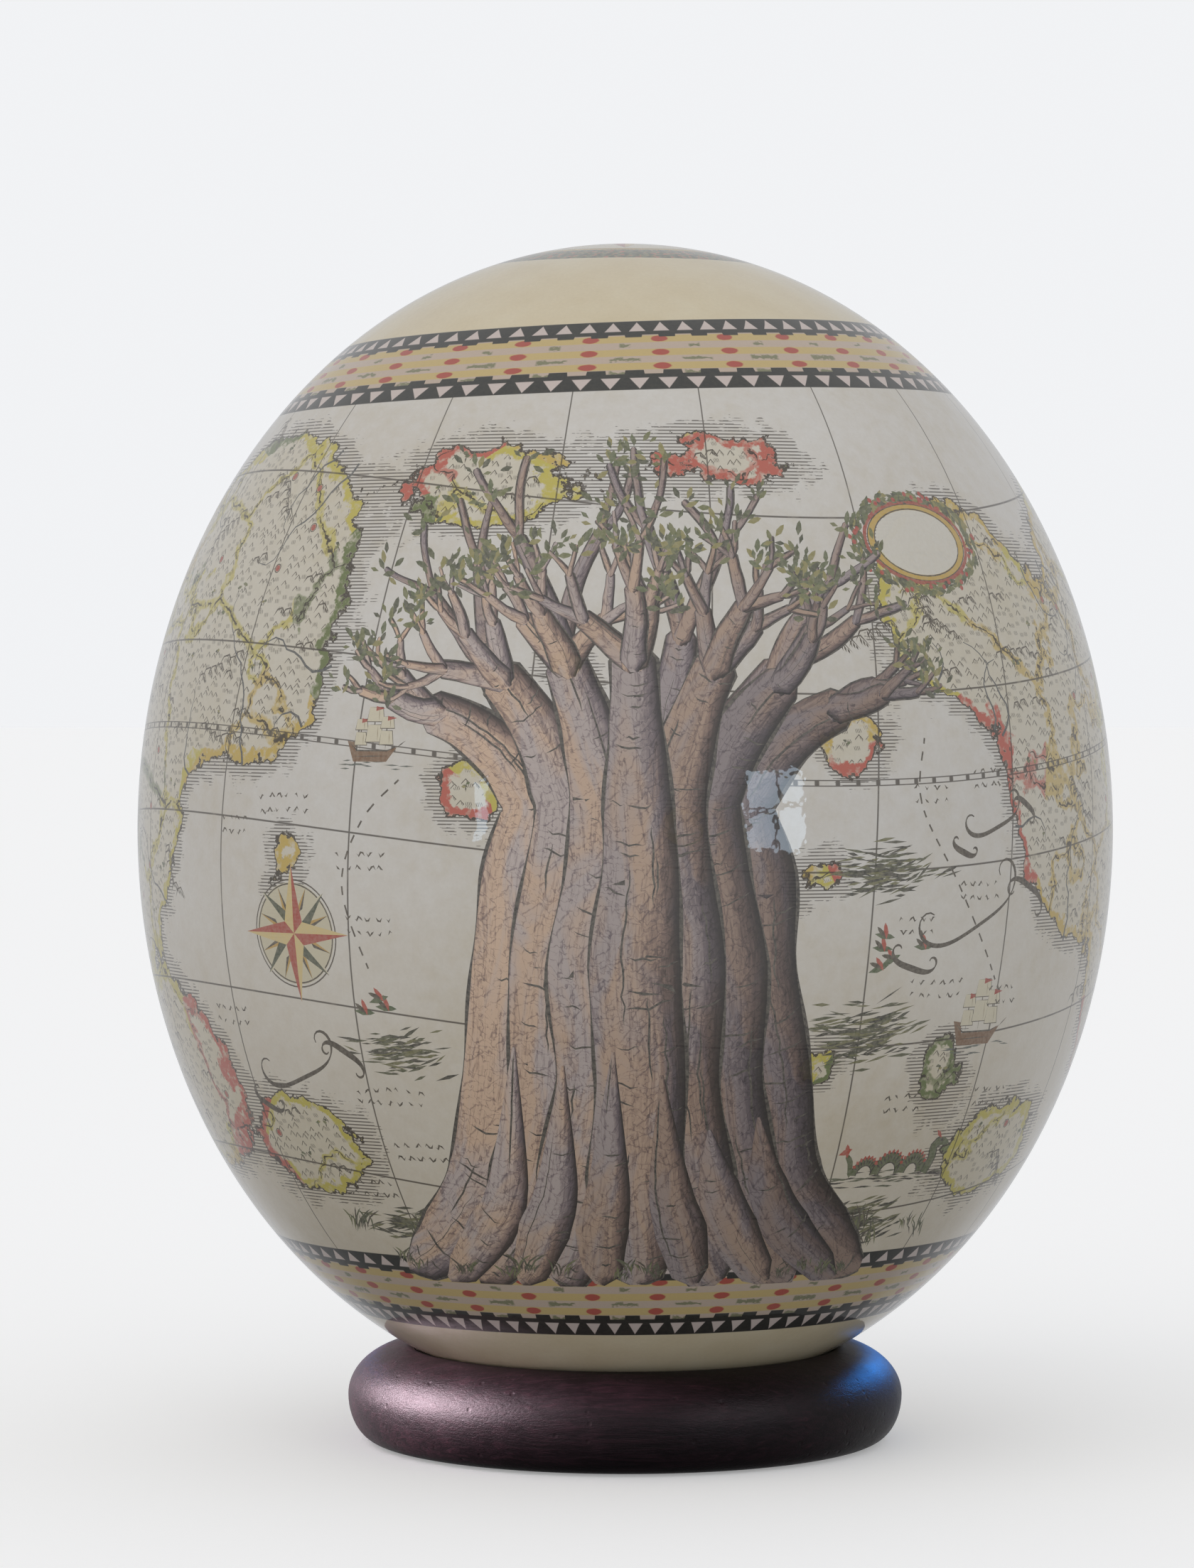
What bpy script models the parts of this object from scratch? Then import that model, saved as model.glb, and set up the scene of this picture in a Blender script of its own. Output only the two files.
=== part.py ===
"""A decorated ostrich egg resting in a turned wooden ring.

Metres, +Z up. The origin is the centre of the ring's underside, on the surface that it stands on.
Both pieces are turned about the Z axis. The egg's blunt end is down, in the ring's dished seat.
"""

import math

import bmesh
import bpy

# The egg: full height, largest diameter, and how much fuller than an ellipse its blunt end and both ends are.
EGG_HEIGHT = 0.1522
EGG_DIAMETER = 0.1280
BLUNT_END_FULLNESS = 0.011
BOTH_ENDS_FULLNESS = 0.011
EGG_FLOOR_GAP = 0.0049

# The ring: its outside, its hole, and the level of its widest line.
RING_DIAMETER = 0.0730
RING_HEIGHT = 0.0123
RING_WIDEST_LEVEL = 0.0059
RING_CREST_RADIUS = 0.0283
RING_HOLE_RADIUS = 0.0210
RING_FOOT_RADIUS = 0.0326
RING_HOLE_FILLET = 0.0020

# The dished seat follows the egg at this distance, out to this radius.
SEAT_GAP = 0.0003
SEAT_RADIUS = 0.0272

EGG_RINGS = 34
EGG_SEGMENTS = 64
RING_SEGMENTS = 72
OUTER_CORNER_STEPS = 6
LOWER_CORNER_STEPS = 4
SEAT_STEPS = 4
FILLET_STEPS = 3

EGG_COLOUR = (0.62, 0.56, 0.43, 1.0)
RING_COLOUR = (0.045, 0.018, 0.014, 1.0)


def egg_point(angle):
    """(radius, height) on the egg's outline. The angle runs from 0 at the bottom to pi at the top."""
    along = math.cos(angle)
    fullness = 1 + BLUNT_END_FULLNESS * along + BOTH_ENDS_FULLNESS * along**2
    radius = EGG_DIAMETER / 2 * math.sin(angle) * fullness
    height = EGG_FLOOR_GAP + EGG_HEIGHT / 2 * (1 - along)
    return radius, height


def egg_angle_at(radius):
    """The outline's angle below the egg's widest line at which it has this radius."""
    low, high = 0.0, math.pi / 2
    for _ in range(40):
        middle = (low + high) / 2
        if egg_point(middle)[0] < radius:
            low = middle
        else:
            high = middle
    return low


def egg_profile():
    """The egg's outline from its bottom to its top, both on the axis."""
    points = [egg_point(math.pi * step / EGG_RINGS) for step in range(EGG_RINGS + 1)]
    points[0] = (0.0, points[0][1])
    points[-1] = (0.0, points[-1][1])
    return points


def quarter_ellipse(centre, wide, high, start, end, steps):
    """Points of an ellipse's arc between two angles in degrees, both ends included."""
    points = []
    for step in range(steps + 1):
        turn = math.radians(start + (end - start) * step / steps)
        points.append((centre[0] + wide * math.cos(turn), centre[1] + high * math.sin(turn)))
    return points


def seat_profile():
    """The dished seat, from its rim down to the hole, a constant gap outside the egg."""
    rim, foot = egg_angle_at(SEAT_RADIUS), egg_angle_at(RING_HOLE_RADIUS)
    nudge = 1e-4
    points = []
    for step in range(SEAT_STEPS + 1):
        angle = rim + (foot - rim) * step / SEAT_STEPS
        radius, height = egg_point(angle)
        ahead_radius, ahead_height = egg_point(angle + nudge)
        slope = math.atan2(ahead_height - height, ahead_radius - radius)
        points.append((radius + SEAT_GAP * math.sin(slope), height - SEAT_GAP * math.cos(slope)))
    return points


def ring_profile():
    """The ring's closed section: foot, outer side, crest, seat, hole and back to the foot."""
    outer = RING_DIAMETER / 2
    lower = quarter_ellipse(
        (RING_FOOT_RADIUS, RING_WIDEST_LEVEL),
        outer - RING_FOOT_RADIUS,
        RING_WIDEST_LEVEL,
        -90,
        0,
        LOWER_CORNER_STEPS,
    )
    upper = quarter_ellipse(
        (RING_CREST_RADIUS, RING_WIDEST_LEVEL),
        outer - RING_CREST_RADIUS,
        RING_HEIGHT - RING_WIDEST_LEVEL,
        0,
        90,
        OUTER_CORNER_STEPS,
    )
    fillet = quarter_ellipse(
        (RING_HOLE_RADIUS + RING_HOLE_FILLET, RING_HOLE_FILLET),
        RING_HOLE_FILLET,
        RING_HOLE_FILLET,
        180,
        270,
        FILLET_STEPS,
    )
    return lower + upper[1:] + seat_profile() + fillet


def turned(name, profile, segments, material, closed):
    """A solid made by turning a profile once round the Z axis."""
    shape = bmesh.new()
    corners = [shape.verts.new((radius, 0.0, height)) for radius, height in profile]
    sides = [shape.edges.new(pair) for pair in zip(corners, corners[1:])]
    if closed:
        sides.append(shape.edges.new((corners[-1], corners[0])))
    bmesh.ops.spin(
        shape,
        geom=corners + sides,
        cent=(0.0, 0.0, 0.0),
        axis=(0.0, 0.0, 1.0),
        angle=2 * math.pi,
        steps=segments,
        use_merge=True,
    )
    bmesh.ops.remove_doubles(shape, verts=shape.verts, dist=1e-6)
    bmesh.ops.recalc_face_normals(shape, faces=shape.faces)
    mesh = bpy.data.meshes.new(name)
    shape.to_mesh(mesh)
    shape.free()
    mesh.shade_smooth()
    mesh.materials.append(material)
    made = bpy.data.objects.new(name, mesh)
    bpy.context.scene.collection.objects.link(made)
    return made


def finish_of(name, colour, roughness, coat):
    """A plain Principled material with the piece's colour and its lacquer."""
    material = bpy.data.materials.new(name)
    material.use_nodes = True
    shader = material.node_tree.nodes["Principled BSDF"]
    shader.inputs["Base Color"].default_value = colour
    shader.inputs["Roughness"].default_value = roughness
    shader.inputs["Metallic"].default_value = 0.0
    shader.inputs["Coat Weight"].default_value = coat
    return material


def main():
    for old in list(bpy.data.objects):
        bpy.data.objects.remove(old, do_unlink=True)
    lacquered_shell = finish_of("lacquered_shell", EGG_COLOUR, 0.30, 1.0)
    dark_wood = finish_of("dark_wood", RING_COLOUR, 0.42, 0.3)
    turned("egg", egg_profile(), EGG_SEGMENTS, lacquered_shell, closed=False)
    turned("ring_stand", ring_profile(), RING_SEGMENTS, dark_wood, closed=True)


main()
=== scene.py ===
"""Looks of the decorated ostrich egg: printed paper under gloss lacquer, on a turned wooden ring.

The egg is one mesh. Its printed shapes are drawn flat, as triangles, and cut into that mesh, so that each
outline is a row of edges and each corner carries its ink. The map's paper, the bands and the shell are
shader patterns. Lengths are in millimetres in the drawing code and in metres in the scene.
"""

import math
import random

import bmesh
import bpy
import numpy as np
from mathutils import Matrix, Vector
from mathutils.geometry import delaunay_2d_cdt


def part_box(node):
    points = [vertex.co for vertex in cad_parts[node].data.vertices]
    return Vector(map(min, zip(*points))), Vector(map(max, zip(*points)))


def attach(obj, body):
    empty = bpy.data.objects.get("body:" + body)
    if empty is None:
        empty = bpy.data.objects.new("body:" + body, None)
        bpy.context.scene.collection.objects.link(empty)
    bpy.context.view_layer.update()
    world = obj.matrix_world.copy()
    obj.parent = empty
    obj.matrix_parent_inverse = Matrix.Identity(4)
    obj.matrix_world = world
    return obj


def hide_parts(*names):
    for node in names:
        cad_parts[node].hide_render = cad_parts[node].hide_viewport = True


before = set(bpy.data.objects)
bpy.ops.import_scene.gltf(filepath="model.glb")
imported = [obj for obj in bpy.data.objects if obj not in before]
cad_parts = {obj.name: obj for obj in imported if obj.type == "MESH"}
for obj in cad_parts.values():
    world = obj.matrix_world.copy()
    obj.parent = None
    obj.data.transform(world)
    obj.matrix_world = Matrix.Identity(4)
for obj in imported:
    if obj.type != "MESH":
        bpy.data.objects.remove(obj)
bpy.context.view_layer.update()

MM = 0.001

# The egg's outline, from the frame's box and the same two fullness values as the solid.
EGG_LOW, EGG_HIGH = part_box("egg")
EGG_RADIUS = EGG_HIGH.x / MM
EGG_HEIGHT = (EGG_HIGH.z - EGG_LOW.z) / MM
EGG_GAP = EGG_LOW.z / MM
BLUNT_END_FULLNESS = 0.011
BOTH_ENDS_FULLNESS = 0.011

# Heights above the egg's bottom: the drawn zone, and each band's upper and lower edge.
DRAWN_LOW = 17.6
DRAWN_HIGH = 128.6
TOP_BAND = (139.75, 130.7)
LOW_BAND = (23.3, 13.1)

# Each band rises by this much on the right of the egg and sinks by it on the left.
TOP_BAND_TILT = 1.4
LOW_BAND_TILT = 0.25

# The crown patch reaches this far from the egg's top, measured over the shell.
PATCH_RADIUS = 18.5

# The tree's roots lie over the low band down to this height.
ROOTS_END = 20.0

# The drawn zone is cut in tiles. Each tile side has this many mesh edges.
TILE_COLUMNS = 64
TILE_ROWS = 18
TILE_EDGES = 3

# A printed outline's corner is left out where it is nearer than this to a straight line.
STRAIGHT = 0.008

# Corners nearer together than this become one.
CLOSE = 1e-5

# In a net of even triangles the rows are this many sides apart.
ROW_SHARE = 0.87


# Colours

def ink(red, green, blue):
    """A linear colour from its 8-bit display values."""
    parts = [value / 255 for value in (red, green, blue)]
    return tuple(p / 12.92 if p <= 0.04045 else ((p + 0.055) / 1.055) ** 2.4 for p in parts)


SEPIA = ink(62, 52, 42)
PEN = ink(40, 35, 36)


# The egg's surface

def outline(turn):
    """(radius, height above the egg's bottom) on the outline. The turn runs from 0 at the bottom to pi."""
    along = np.cos(turn)
    fullness = 1 + BLUNT_END_FULLNESS * along + BOTH_ENDS_FULLNESS * along**2
    return EGG_RADIUS * np.sin(turn) * fullness, EGG_HEIGHT / 2 * (1 - along)


TURNS = np.linspace(0, math.pi, 6001)
RADII, HEIGHTS = outline(TURNS)
LENGTHS = np.concatenate([[0], np.cumsum(np.hypot(np.diff(RADII), np.diff(HEIGHTS)))])
FULL_LENGTH = LENGTHS[-1]
OUTWARD = np.gradient(HEIGHTS, LENGTHS)
UPWARD = -np.gradient(RADII, LENGTHS)


def length_at(height):
    """The distance from the egg's bottom, along its outline, to a height."""
    return np.interp(height, HEIGHTS, LENGTHS)


def radius_at(height):
    """The egg's radius at a height."""
    return np.interp(height, HEIGHTS, RADII)


def surface(longitude, length):
    """Points on the egg and the outward normals there, in metres."""
    radius = np.interp(length, LENGTHS, RADII)
    height = np.interp(length, LENGTHS, HEIGHTS) + EGG_GAP
    out = np.interp(length, LENGTHS, OUTWARD)
    rise = np.interp(length, LENGTHS, UPWARD)
    size = np.hypot(out, rise)
    right, front = np.sin(longitude), -np.cos(longitude)
    points = np.stack([radius * right, radius * front, height], 1) * MM
    normals = np.stack([out / size * right, out / size * front, rise / size], 1)
    return points, normals


# The imaginary lands of the map: longitude in degrees, height, half width and half height in millimetres.
LANDS = (
    (-60, 106, 28, 20),
    (-19, 119, 13, 5),
    (14, 122, 9, 3),
    (-84, 84, 26, 26),
    (-46, 92, 8, 6),
    (-45, 37, 11, 6),
    (-72, 45, 17, 12),
    (66, 84, 20, 22),
    (46, 104, 16, 13),
    (86, 104, 22, 17),
    (57, 36, 12, 6),
    (84, 60, 14, 16),
    (108, 52, 26, 20),
    (150, 92, 20, 24),
    (178, 46, 26, 10),
    (-150, 92, 16, 22),
    (-128, 56, 16, 20),
)
ISLANDS = 26
COAST_BLEND = 2.6

# Seeds of the random draws.
ISLAND_SEED = 11
COUNTRY_SEED = 5
SIGN_SEED = 8
FRONT_TREE_SEED = 21
BACK_TREE_SEED = 34

# Hills, trees and towns are spread over the lands by this many seeded tries, no nearer together than this.
SPOT_TRIES = 9000
SPOT_SPACING = 4.6


def lands_and_islands():
    """The lands, and small islands scattered by a seeded draw."""
    draw = random.Random(ISLAND_SEED)
    found = list(LANDS)
    while len(found) < len(LANDS) + ISLANDS:
        longitude, height = draw.uniform(-178, 178), draw.uniform(30, 122)
        if land_distance(math.radians(longitude), height, found) < -5:
            size = draw.choice((1.3, 1.6, 2.2, 3.4))
            found.append((longitude, height, size * draw.uniform(0.8, 1.5), size))
    return found


def land_distance(longitude, height, lands):
    """How far inside the nearest coast a point lies, in millimetres; below zero at sea."""
    near = 0.0
    for centre, level, wide, high in lands:
        away = (longitude - math.radians(centre) + math.pi) % (2 * math.pi) - math.pi
        across = away * EGG_RADIUS
        reach = (np.hypot(across / wide, (height - level) / high) - 1) * min(wide, high)
        near = near + np.exp(-np.clip(reach, -60, 60) / COAST_BLEND)
    return COAST_BLEND * np.log(near + 1e-12)


# Drawing

def polar(place, reach, turn):
    """The spot at a distance from a place, in a direction."""
    return place[0] + reach * math.cos(turn), place[1] + reach * math.sin(turn)


def ellipse(place, wide, high, count):
    """Places evenly round an ellipse, with the first one again at the end."""
    turns = [2 * math.pi * k / count for k in range(count + 1)]
    return [(place[0] + wide * math.cos(t), place[1] + high * math.sin(t)) for t in turns]


class Drawing:
    """Printed shapes as triangles. A place is (across, height), counted from the present meridian.

    Each corner has eight values: red, green, blue, cover, along, beside, edge and bark. Along and beside
    are millimetres in the direction of a limb and across it, edge runs from -1 to 1 across it, and bark is
    1 on bark.
    """

    def __init__(self):
        self.meridian = 0.0
        self.corners = []
        self.values = []

    def turn_to(self, degrees):
        self.meridian = math.radians(degrees)

    def triangle(self, places, values):
        self.corners.append([(self.meridian, across, height) for across, height in places])
        self.values.append(values)

    def fan(self, places, colour):
        """A flat convex shape."""
        flat = (*colour, 1.0, 0.0, 0.0, 0.0, 0.0)
        for second, third in zip(places[1:], places[2:]):
            self.triangle((places[0], second, third), (flat, flat, flat))

    def ribbon(self, path, halves, colour, bark=0.0, start=0.0, edges=(-1.0, 1.0)):
        """A strip along a path, with a half width at each of its points."""
        sides, along = ([], []), start
        for index, (place, half) in enumerate(zip(path, halves)):
            before, after = path[max(index - 1, 0)], path[min(index + 1, len(path) - 1)]
            run, rise = after[0] - before[0], after[1] - before[1]
            size = math.hypot(run, rise) or 1.0
            if index:
                along += math.dist(place, before)
            for side, hand, edge in zip(sides, (-1, 1), edges):
                spot = place[0] + hand * rise / size * half, place[1] - hand * run / size * half
                side.append((spot, (*colour, 1.0, along, hand * half, edge, bark)))
        left, right = sides
        for a, b, c, d in zip(left, left[1:], right, right[1:]):
            if a[0] != c[0]:
                self.triangle((a[0], c[0], b[0]), (a[1], c[1], b[1]))
            if b[0] != d[0]:
                self.triangle((c[0], d[0], b[0]), (c[1], d[1], b[1]))

    def strip(self, path, width, colour):
        """A strip of one width."""
        self.ribbon(path, [width / 2] * len(path), colour)

    def stroke(self, path, width, colour):
        """A pen line that thins out to a point at both ends."""
        if len(path) == 2:
            path = [path[0], tuple((a + b) / 2 for a, b in zip(*path)), path[1]]
        last = len(path) - 1
        halves = [width / 2 * math.sin(math.pi * (0.1 + 0.8 * k / last)) ** 0.6 for k in range(1, last)]
        self.ribbon(path, [0.0, *halves, 0.0], colour)

    def lens(self, place, length, width, turn, colour):
        """A leaf, a dab or a short pen mark."""
        spots = ((-0.5, 0), (-0.1, -0.5), (0.28, -0.34), (0.5, 0), (0.28, 0.34), (-0.1, 0.5))
        if width < 0.6:
            spots = ((-0.5, 0), (0.05, -0.5), (0.5, 0), (0.05, 0.5))
        x, y = place
        run, rise = math.cos(turn), math.sin(turn)
        self.fan(
            [
                (x + a * length * run - b * width * rise, y + a * length * rise + b * width * run)
                for a, b in spots
            ],
            colour,
        )

    def disc(self, place, radius, colour, sides=12):
        self.fan(ellipse(place, radius, radius, sides)[:-1], colour)

    def circle(self, place, radius, width, colour, sides=48):
        self.strip(ellipse(place, radius, radius, sides), width, colour)

    def flat(self):
        """The corners as (turned length at the widest girth, length along the outline), and their values."""
        corners = np.array(self.corners)
        meridian, across, height = corners[..., 0], corners[..., 1], corners[..., 2]
        around = EGG_RADIUS * (meridian + across / radius_at(height))
        places, values = np.stack([around, length_at(height)], -1), np.array(self.values)
        first, second = places[:, 1] - places[:, 0], places[:, 2] - places[:, 0]
        backward = first[:, 0] * second[:, 1] < first[:, 1] * second[:, 0]
        places[backward] = places[backward][:, ::-1]
        values[backward] = values[backward][:, ::-1]
        return places, values


def curve_value(before, start, end, after, t):
    """One coordinate of a smooth curve's stretch, at a share t of the way from its start to its end."""
    bend = 2 * before - 5 * start + 4 * end - after
    twist = 3 * start - before - 3 * end + after
    return 0.5 * (2 * start + (end - before) * t + bend * t**2 + twist * t**3)


def smooth(points, step):
    """Points of a smooth curve through the given ones, about a step apart."""
    points = [points[0], *points, points[-1]]
    made = []
    for stretch in zip(points, points[1:], points[2:], points[3:]):
        _, start, end, _ = stretch
        count = max(1, round(math.hypot(end[0] - start[0], end[1] - start[1]) / step))
        for k in range(count):
            made.append(tuple(curve_value(*values, k / count) for values in zip(*stretch)))
    return [*made, tuple(points[-1])]


def run_of(points):
    """How far along a path each of its points lies."""
    return np.concatenate([[0.0], np.cumsum([math.dist(a, b) for a, b in zip(points, points[1:])])])


def blended(first, second, share):
    return tuple(a + (b - a) * share for a, b in zip(first, second))


# The baobab

LEAF_TINTS = (ink(74, 82, 50), ink(104, 108, 62), ink(60, 66, 46), ink(138, 130, 74), ink(88, 98, 62))
LIT_BARK = (0.98, 0.95, 0.92)
SHADED_BARK = (0.44, 0.42, 0.45)
DISTANT_BARK = (0.62, 0.60, 0.63)

# A main limb forks this many times before it ends in leaves.
LAST_FORK = 3

# The trunk's middle from the foot, and how far its outermost limbs lean, in degrees.
TRUNK_MIDDLE = 0.6
SPREAD = 66

# The edge values at the two sides of a trunk fold. The left one stops short of -1, so it is less shaded.
FOLD_EDGES = (-0.86, 0.98)


class Baobab:
    """A broad folded trunk whose folds run up into stubby, forking limbs with tufts of leaves.

    Places are millimetres from the foot of the trunk, before scaling. A limb's ink is a tone that multiplies
    the bark's own colour: warm and light on the left of the tree, cool and dark on its right.
    """

    def __init__(self, drawing, seed, foot, scale, folds):
        self.drawing = drawing
        self.draw = random.Random(seed)
        self.foot = foot
        self.scale = scale
        self.tips = []
        sides = [2 * k / (folds - 1) - 1 for k in range(folds)]
        sides.sort(key=lambda side: -abs(side))
        for side in (-0.8, 0.72, -0.42, 0.3):
            heading = math.radians(92 - SPREAD * side * 0.9)
            self.fork((8 * side, 60), heading, 2.8, 18, 1, DISTANT_BARK)
        self.body()
        ends = [self.main_limb(side) for side in sides]
        for place, heading, radius, side in ends:
            self.branch_out(place, heading, radius, 11.5 - 2.5 * abs(side), 0, self.tone(side))
        for side in (-0.83, 0.9, -0.5, 0.56, -0.16, 0.24):
            self.root_fold(side)
        self.leaves()

    def tone(self, side):
        """The ink of a limb, lighter or darker by its side of the tree and by a seeded draw."""
        share = min(1.0, max(0.0, 0.5 + 0.55 * side + self.draw.uniform(-0.12, 0.12)))
        return blended(LIT_BARK, SHADED_BARK, share)

    def placed(self, across, height):
        """A place of the tree's own, on the egg."""
        return self.foot[0] + across * self.scale, self.foot[1] + height * self.scale

    def limb(self, places, radii, tone, edges=(-1.0, 1.0), rim=0.2, rings=0.5, folds=2):
        """One limb through the given places, with its radius running smoothly between the given ones.

        A dark rim shows round it, except where it starts. Rings are pen lines part of the way round it,
        so many to each step of its path, and folds are pen lines along it.
        """
        places = [self.placed(*place) for place in places]
        path = smooth(places, 1.2)
        marks, run = run_of(places), run_of(path)
        shares = run / run[-1]
        halves = np.interp(shares, marks / marks[-1], radii) * self.scale
        swell = 0.6 + 0.4 * np.sin(np.arange(len(path)) * 0.45 + self.draw.uniform(0, 6))
        wider = halves + rim * self.scale * swell * np.clip(shares * 5 - 0.4 + (rim > 0.3), 0, 1)
        self.drawing.ribbon(path, list(wider), PEN)
        self.drawing.ribbon(path, list(halves), tone, 1.0, self.draw.uniform(0, 300), edges)
        self.pen_lines(path, halves, round(rings * len(path)), folds)

    def pen_lines(self, path, halves, rings, folds):
        """Pen lines along a limb and part of the way round it."""
        draw = self.draw
        last = len(path) - 1

        def beside(index, share, slip=0.0):
            ahead, behind = path[min(index + 1, last)], path[max(index - 1, 0)]
            run, rise = ahead[0] - behind[0], ahead[1] - behind[1]
            half = halves[index] / math.hypot(run, rise)
            across, height = path[index]
            return across + (rise * share + run * slip) * half, height + (rise * slip - run * share) * half

        for _ in range(folds):
            first = draw.randint(0, max(0, last - 6))
            share = draw.uniform(-0.75, 0.8)
            beyond = min(last, first + draw.randint(5, 18))
            spots = [beside(k, share + draw.uniform(-0.04, 0.04)) for k in range(first, beyond)]
            if len(spots) > 2:
                self.drawing.stroke(spots, min(0.26, halves[first] * 0.11), PEN)
        for _ in range(rings):
            index = draw.randint(1, last - 1)
            first = draw.uniform(-0.97, 0.5)
            second = min(0.97, first + draw.uniform(0.4, 1.3))
            shares = [first + (second - first) * k / 4 for k in range(5)]
            slips = [-0.3 * (1 - share * share) + draw.uniform(-0.05, 0.05) for share in shares]
            width = min(0.24, halves[index] * 0.1) * draw.uniform(0.6, 1.2)
            ring = [beside(index, share, slip) for share, slip in zip(shares, slips)]
            self.drawing.stroke(ring, width, PEN)

    def body(self):
        """The trunk behind its folds."""
        halves = (25, 23, 20.2, 18.8, 18.6, 17.6, 14.6, 8.0, 0.4)
        levels = (0, 5, 14, 26, 40, 50, 57, 61, 63)
        tone = blended(LIT_BARK, SHADED_BARK, 0.5)
        places = [(TRUNK_MIDDLE, level) for level in levels]
        self.limb(places, halves, tone, (-0.9, 0.95), rim=0.5, rings=0.0, folds=0)

    def main_limb(self, side):
        """A fold of the trunk that runs from the root up into a limb. Returns its end."""
        draw = self.draw
        sway = draw.uniform(-0.9, 0.9)
        toe = -1.2 + 1.6 * side * side
        levels = (toe - 1.0, toe, 4, 12, 24, 38, 49, 57)
        reach = (30.6, 28.0, 23.5, 18.6, 16.2, 15.4, 13.9, 12.4)
        wave = (0.0, 0.0, 0.5, -0.8, 0.9, -1.0, 0.7, 0.0)
        girth = draw.uniform(0.96, 1.08)
        places = [
            (out * side + TRUNK_MIDDLE + sway * bend, level)
            for out, bend, level in zip(reach, wave, levels)
        ]
        radii = [0.9, 3.1, 4.6, 5.2 * girth, 4.9 * girth, 5.0 * girth, 4.6, 4.1]
        heading = math.radians(90 - SPREAD * side * 0.2)
        place, radius = places[-1], radii[-1]
        for _ in range(5):
            heading += math.radians(-SPREAD * side * 0.15) + draw.uniform(-0.05, 0.05)
            place = polar(place, 3.6, heading)
            radius *= 0.91
            places.append(place)
            radii.append(radius)
        swell = [r * draw.uniform(0.96, 1.05) for r in radii]
        beyond = polar(place, 1.6, heading)
        places, radii = [*places, beyond], [*swell, radius * 0.45]
        self.limb(places, radii, self.tone(side), FOLD_EDGES, rim=0.5, rings=0.34, folds=6)
        return place, heading, radius, side

    def root_fold(self, side):
        """A short fold at the trunk's foot that fades into it above."""
        draw = self.draw
        top = draw.uniform(16, 30)
        sway = draw.uniform(-0.8, 0.8)
        places = [
            (29.4 * side + TRUNK_MIDDLE, -2.2),
            (27.0 * side + TRUNK_MIDDLE, -0.6),
            (21.5 * side + sway, 5),
            (18.6 * side, 11),
            (17.4 * side - sway, top),
        ]
        radii = (0.6, 2.4, 3.3, 2.6, 0.2)
        self.limb(places, radii, self.tone(side), FOLD_EDGES, rim=0.0, rings=0.3, folds=1)

    def fork(self, place, heading, radius, reach, order, tone):
        """A limb that starts inside its parent, bends as it grows, and ends where it forks."""
        draw = self.draw
        places, radii = [polar(place, -0.9 * radius, heading), place], [radius * 0.3, radius]
        bend = draw.uniform(-0.4, 0.4)
        steps = 4
        for _ in range(steps):
            heading += bend / steps + (math.pi / 2 - heading) * 0.06 + draw.uniform(-0.14, 0.14)
            place = polar(place, reach / steps, heading)
            radius *= 0.9
            places.append(place)
            radii.append(radius * draw.uniform(0.92, 1.08))
        beyond = polar(place, radius * 0.8, heading)
        rings = 0.35 if order < LAST_FORK else 0
        self.limb([*places, beyond], [*radii, radius * 0.35], tone, rings=rings, folds=LAST_FORK - order)
        self.branch_out(place, heading, radius, reach, order, tone)

    def branch_out(self, place, heading, radius, reach, order, tone):
        """Two or three smaller limbs from a limb's end, or leaves if it was the last one."""
        draw = self.draw
        if order >= LAST_FORK:
            self.tips.append(place)
            return
        children = 3 if draw.random() < (0.8 if order == 0 else 0.35) else 2
        turns = [(child - (children - 1) / 2) * draw.uniform(0.6, 0.85) for child in range(children)]
        for turn in sorted(turns, key=lambda t: -abs(t)):
            shrink = draw.uniform(0.6, 0.74)
            length = reach * draw.uniform(0.6, 0.78)
            self.fork(place, heading + turn, radius * shrink, length, order + 1, tone)

    def leaves(self):
        """Tufts of leaves round the tips of the last limbs."""
        for place in self.tips:
            for _ in range(self.draw.randint(5, 9)):
                away = self.draw.gauss(0, 1.2), self.draw.gauss(0.4, 0.9)
                turn = math.atan2(away[1] + 0.6, away[0])
                size = self.draw.uniform(1.1, 1.9) * self.scale
                spot = self.placed(place[0] + away[0], place[1] + away[1])
                self.drawing.lens(spot, size, size * 0.42, turn, self.draw.choice(LEAF_TINTS))


# Small map signs

def grass(drawing, draw, place, size):
    """A tuft of nine bent blades."""
    for _ in range(9):
        lean = draw.uniform(-0.9, 0.9)
        tall = size * draw.uniform(0.5, 1.0)
        foot = place[0] + draw.uniform(-0.5, 0.5) * size, place[1] + draw.uniform(-0.15, 0.15) * size
        tip = foot[0] + lean * tall, foot[1] + tall
        middle = foot[0] + lean * tall * 0.3, foot[1] + tall * 0.6
        drawing.stroke(smooth([foot, middle, tip], 0.8), 0.24, draw.choice((*LEAF_TINTS[:3], SEPIA)))


def hill(drawing, place, size):
    """A hill's brow, with short pen lines down its shaded side."""
    across, height = place
    brow = [(-1, 0), (-0.5, 0.8), (0.2, 0.95), (1.05, 0)]
    drawing.stroke([(across + a * size, height + b * size) for a, b in brow], 0.24, SEPIA)
    for k in range(3):
        start = across + (0.1 + 0.26 * k) * size, height + (0.9 - 0.26 * k) * size
        end = start[0] + 0.16 * size, start[1] - (0.72 - 0.16 * k) * size
        drawing.stroke([start, end], 0.26, SEPIA)


def ridge(drawing, draw, place, count):
    """A mountain range: hills close together along a wandering line."""
    across, height = place
    heading = draw.uniform(0, 2 * math.pi)
    for _ in range(count):
        heading += draw.uniform(-0.5, 0.5)
        across += 1.5 * math.cos(heading)
        height += 1.1 * math.sin(heading)
        hill(drawing, (across, height), draw.uniform(1.1, 1.7))


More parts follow.
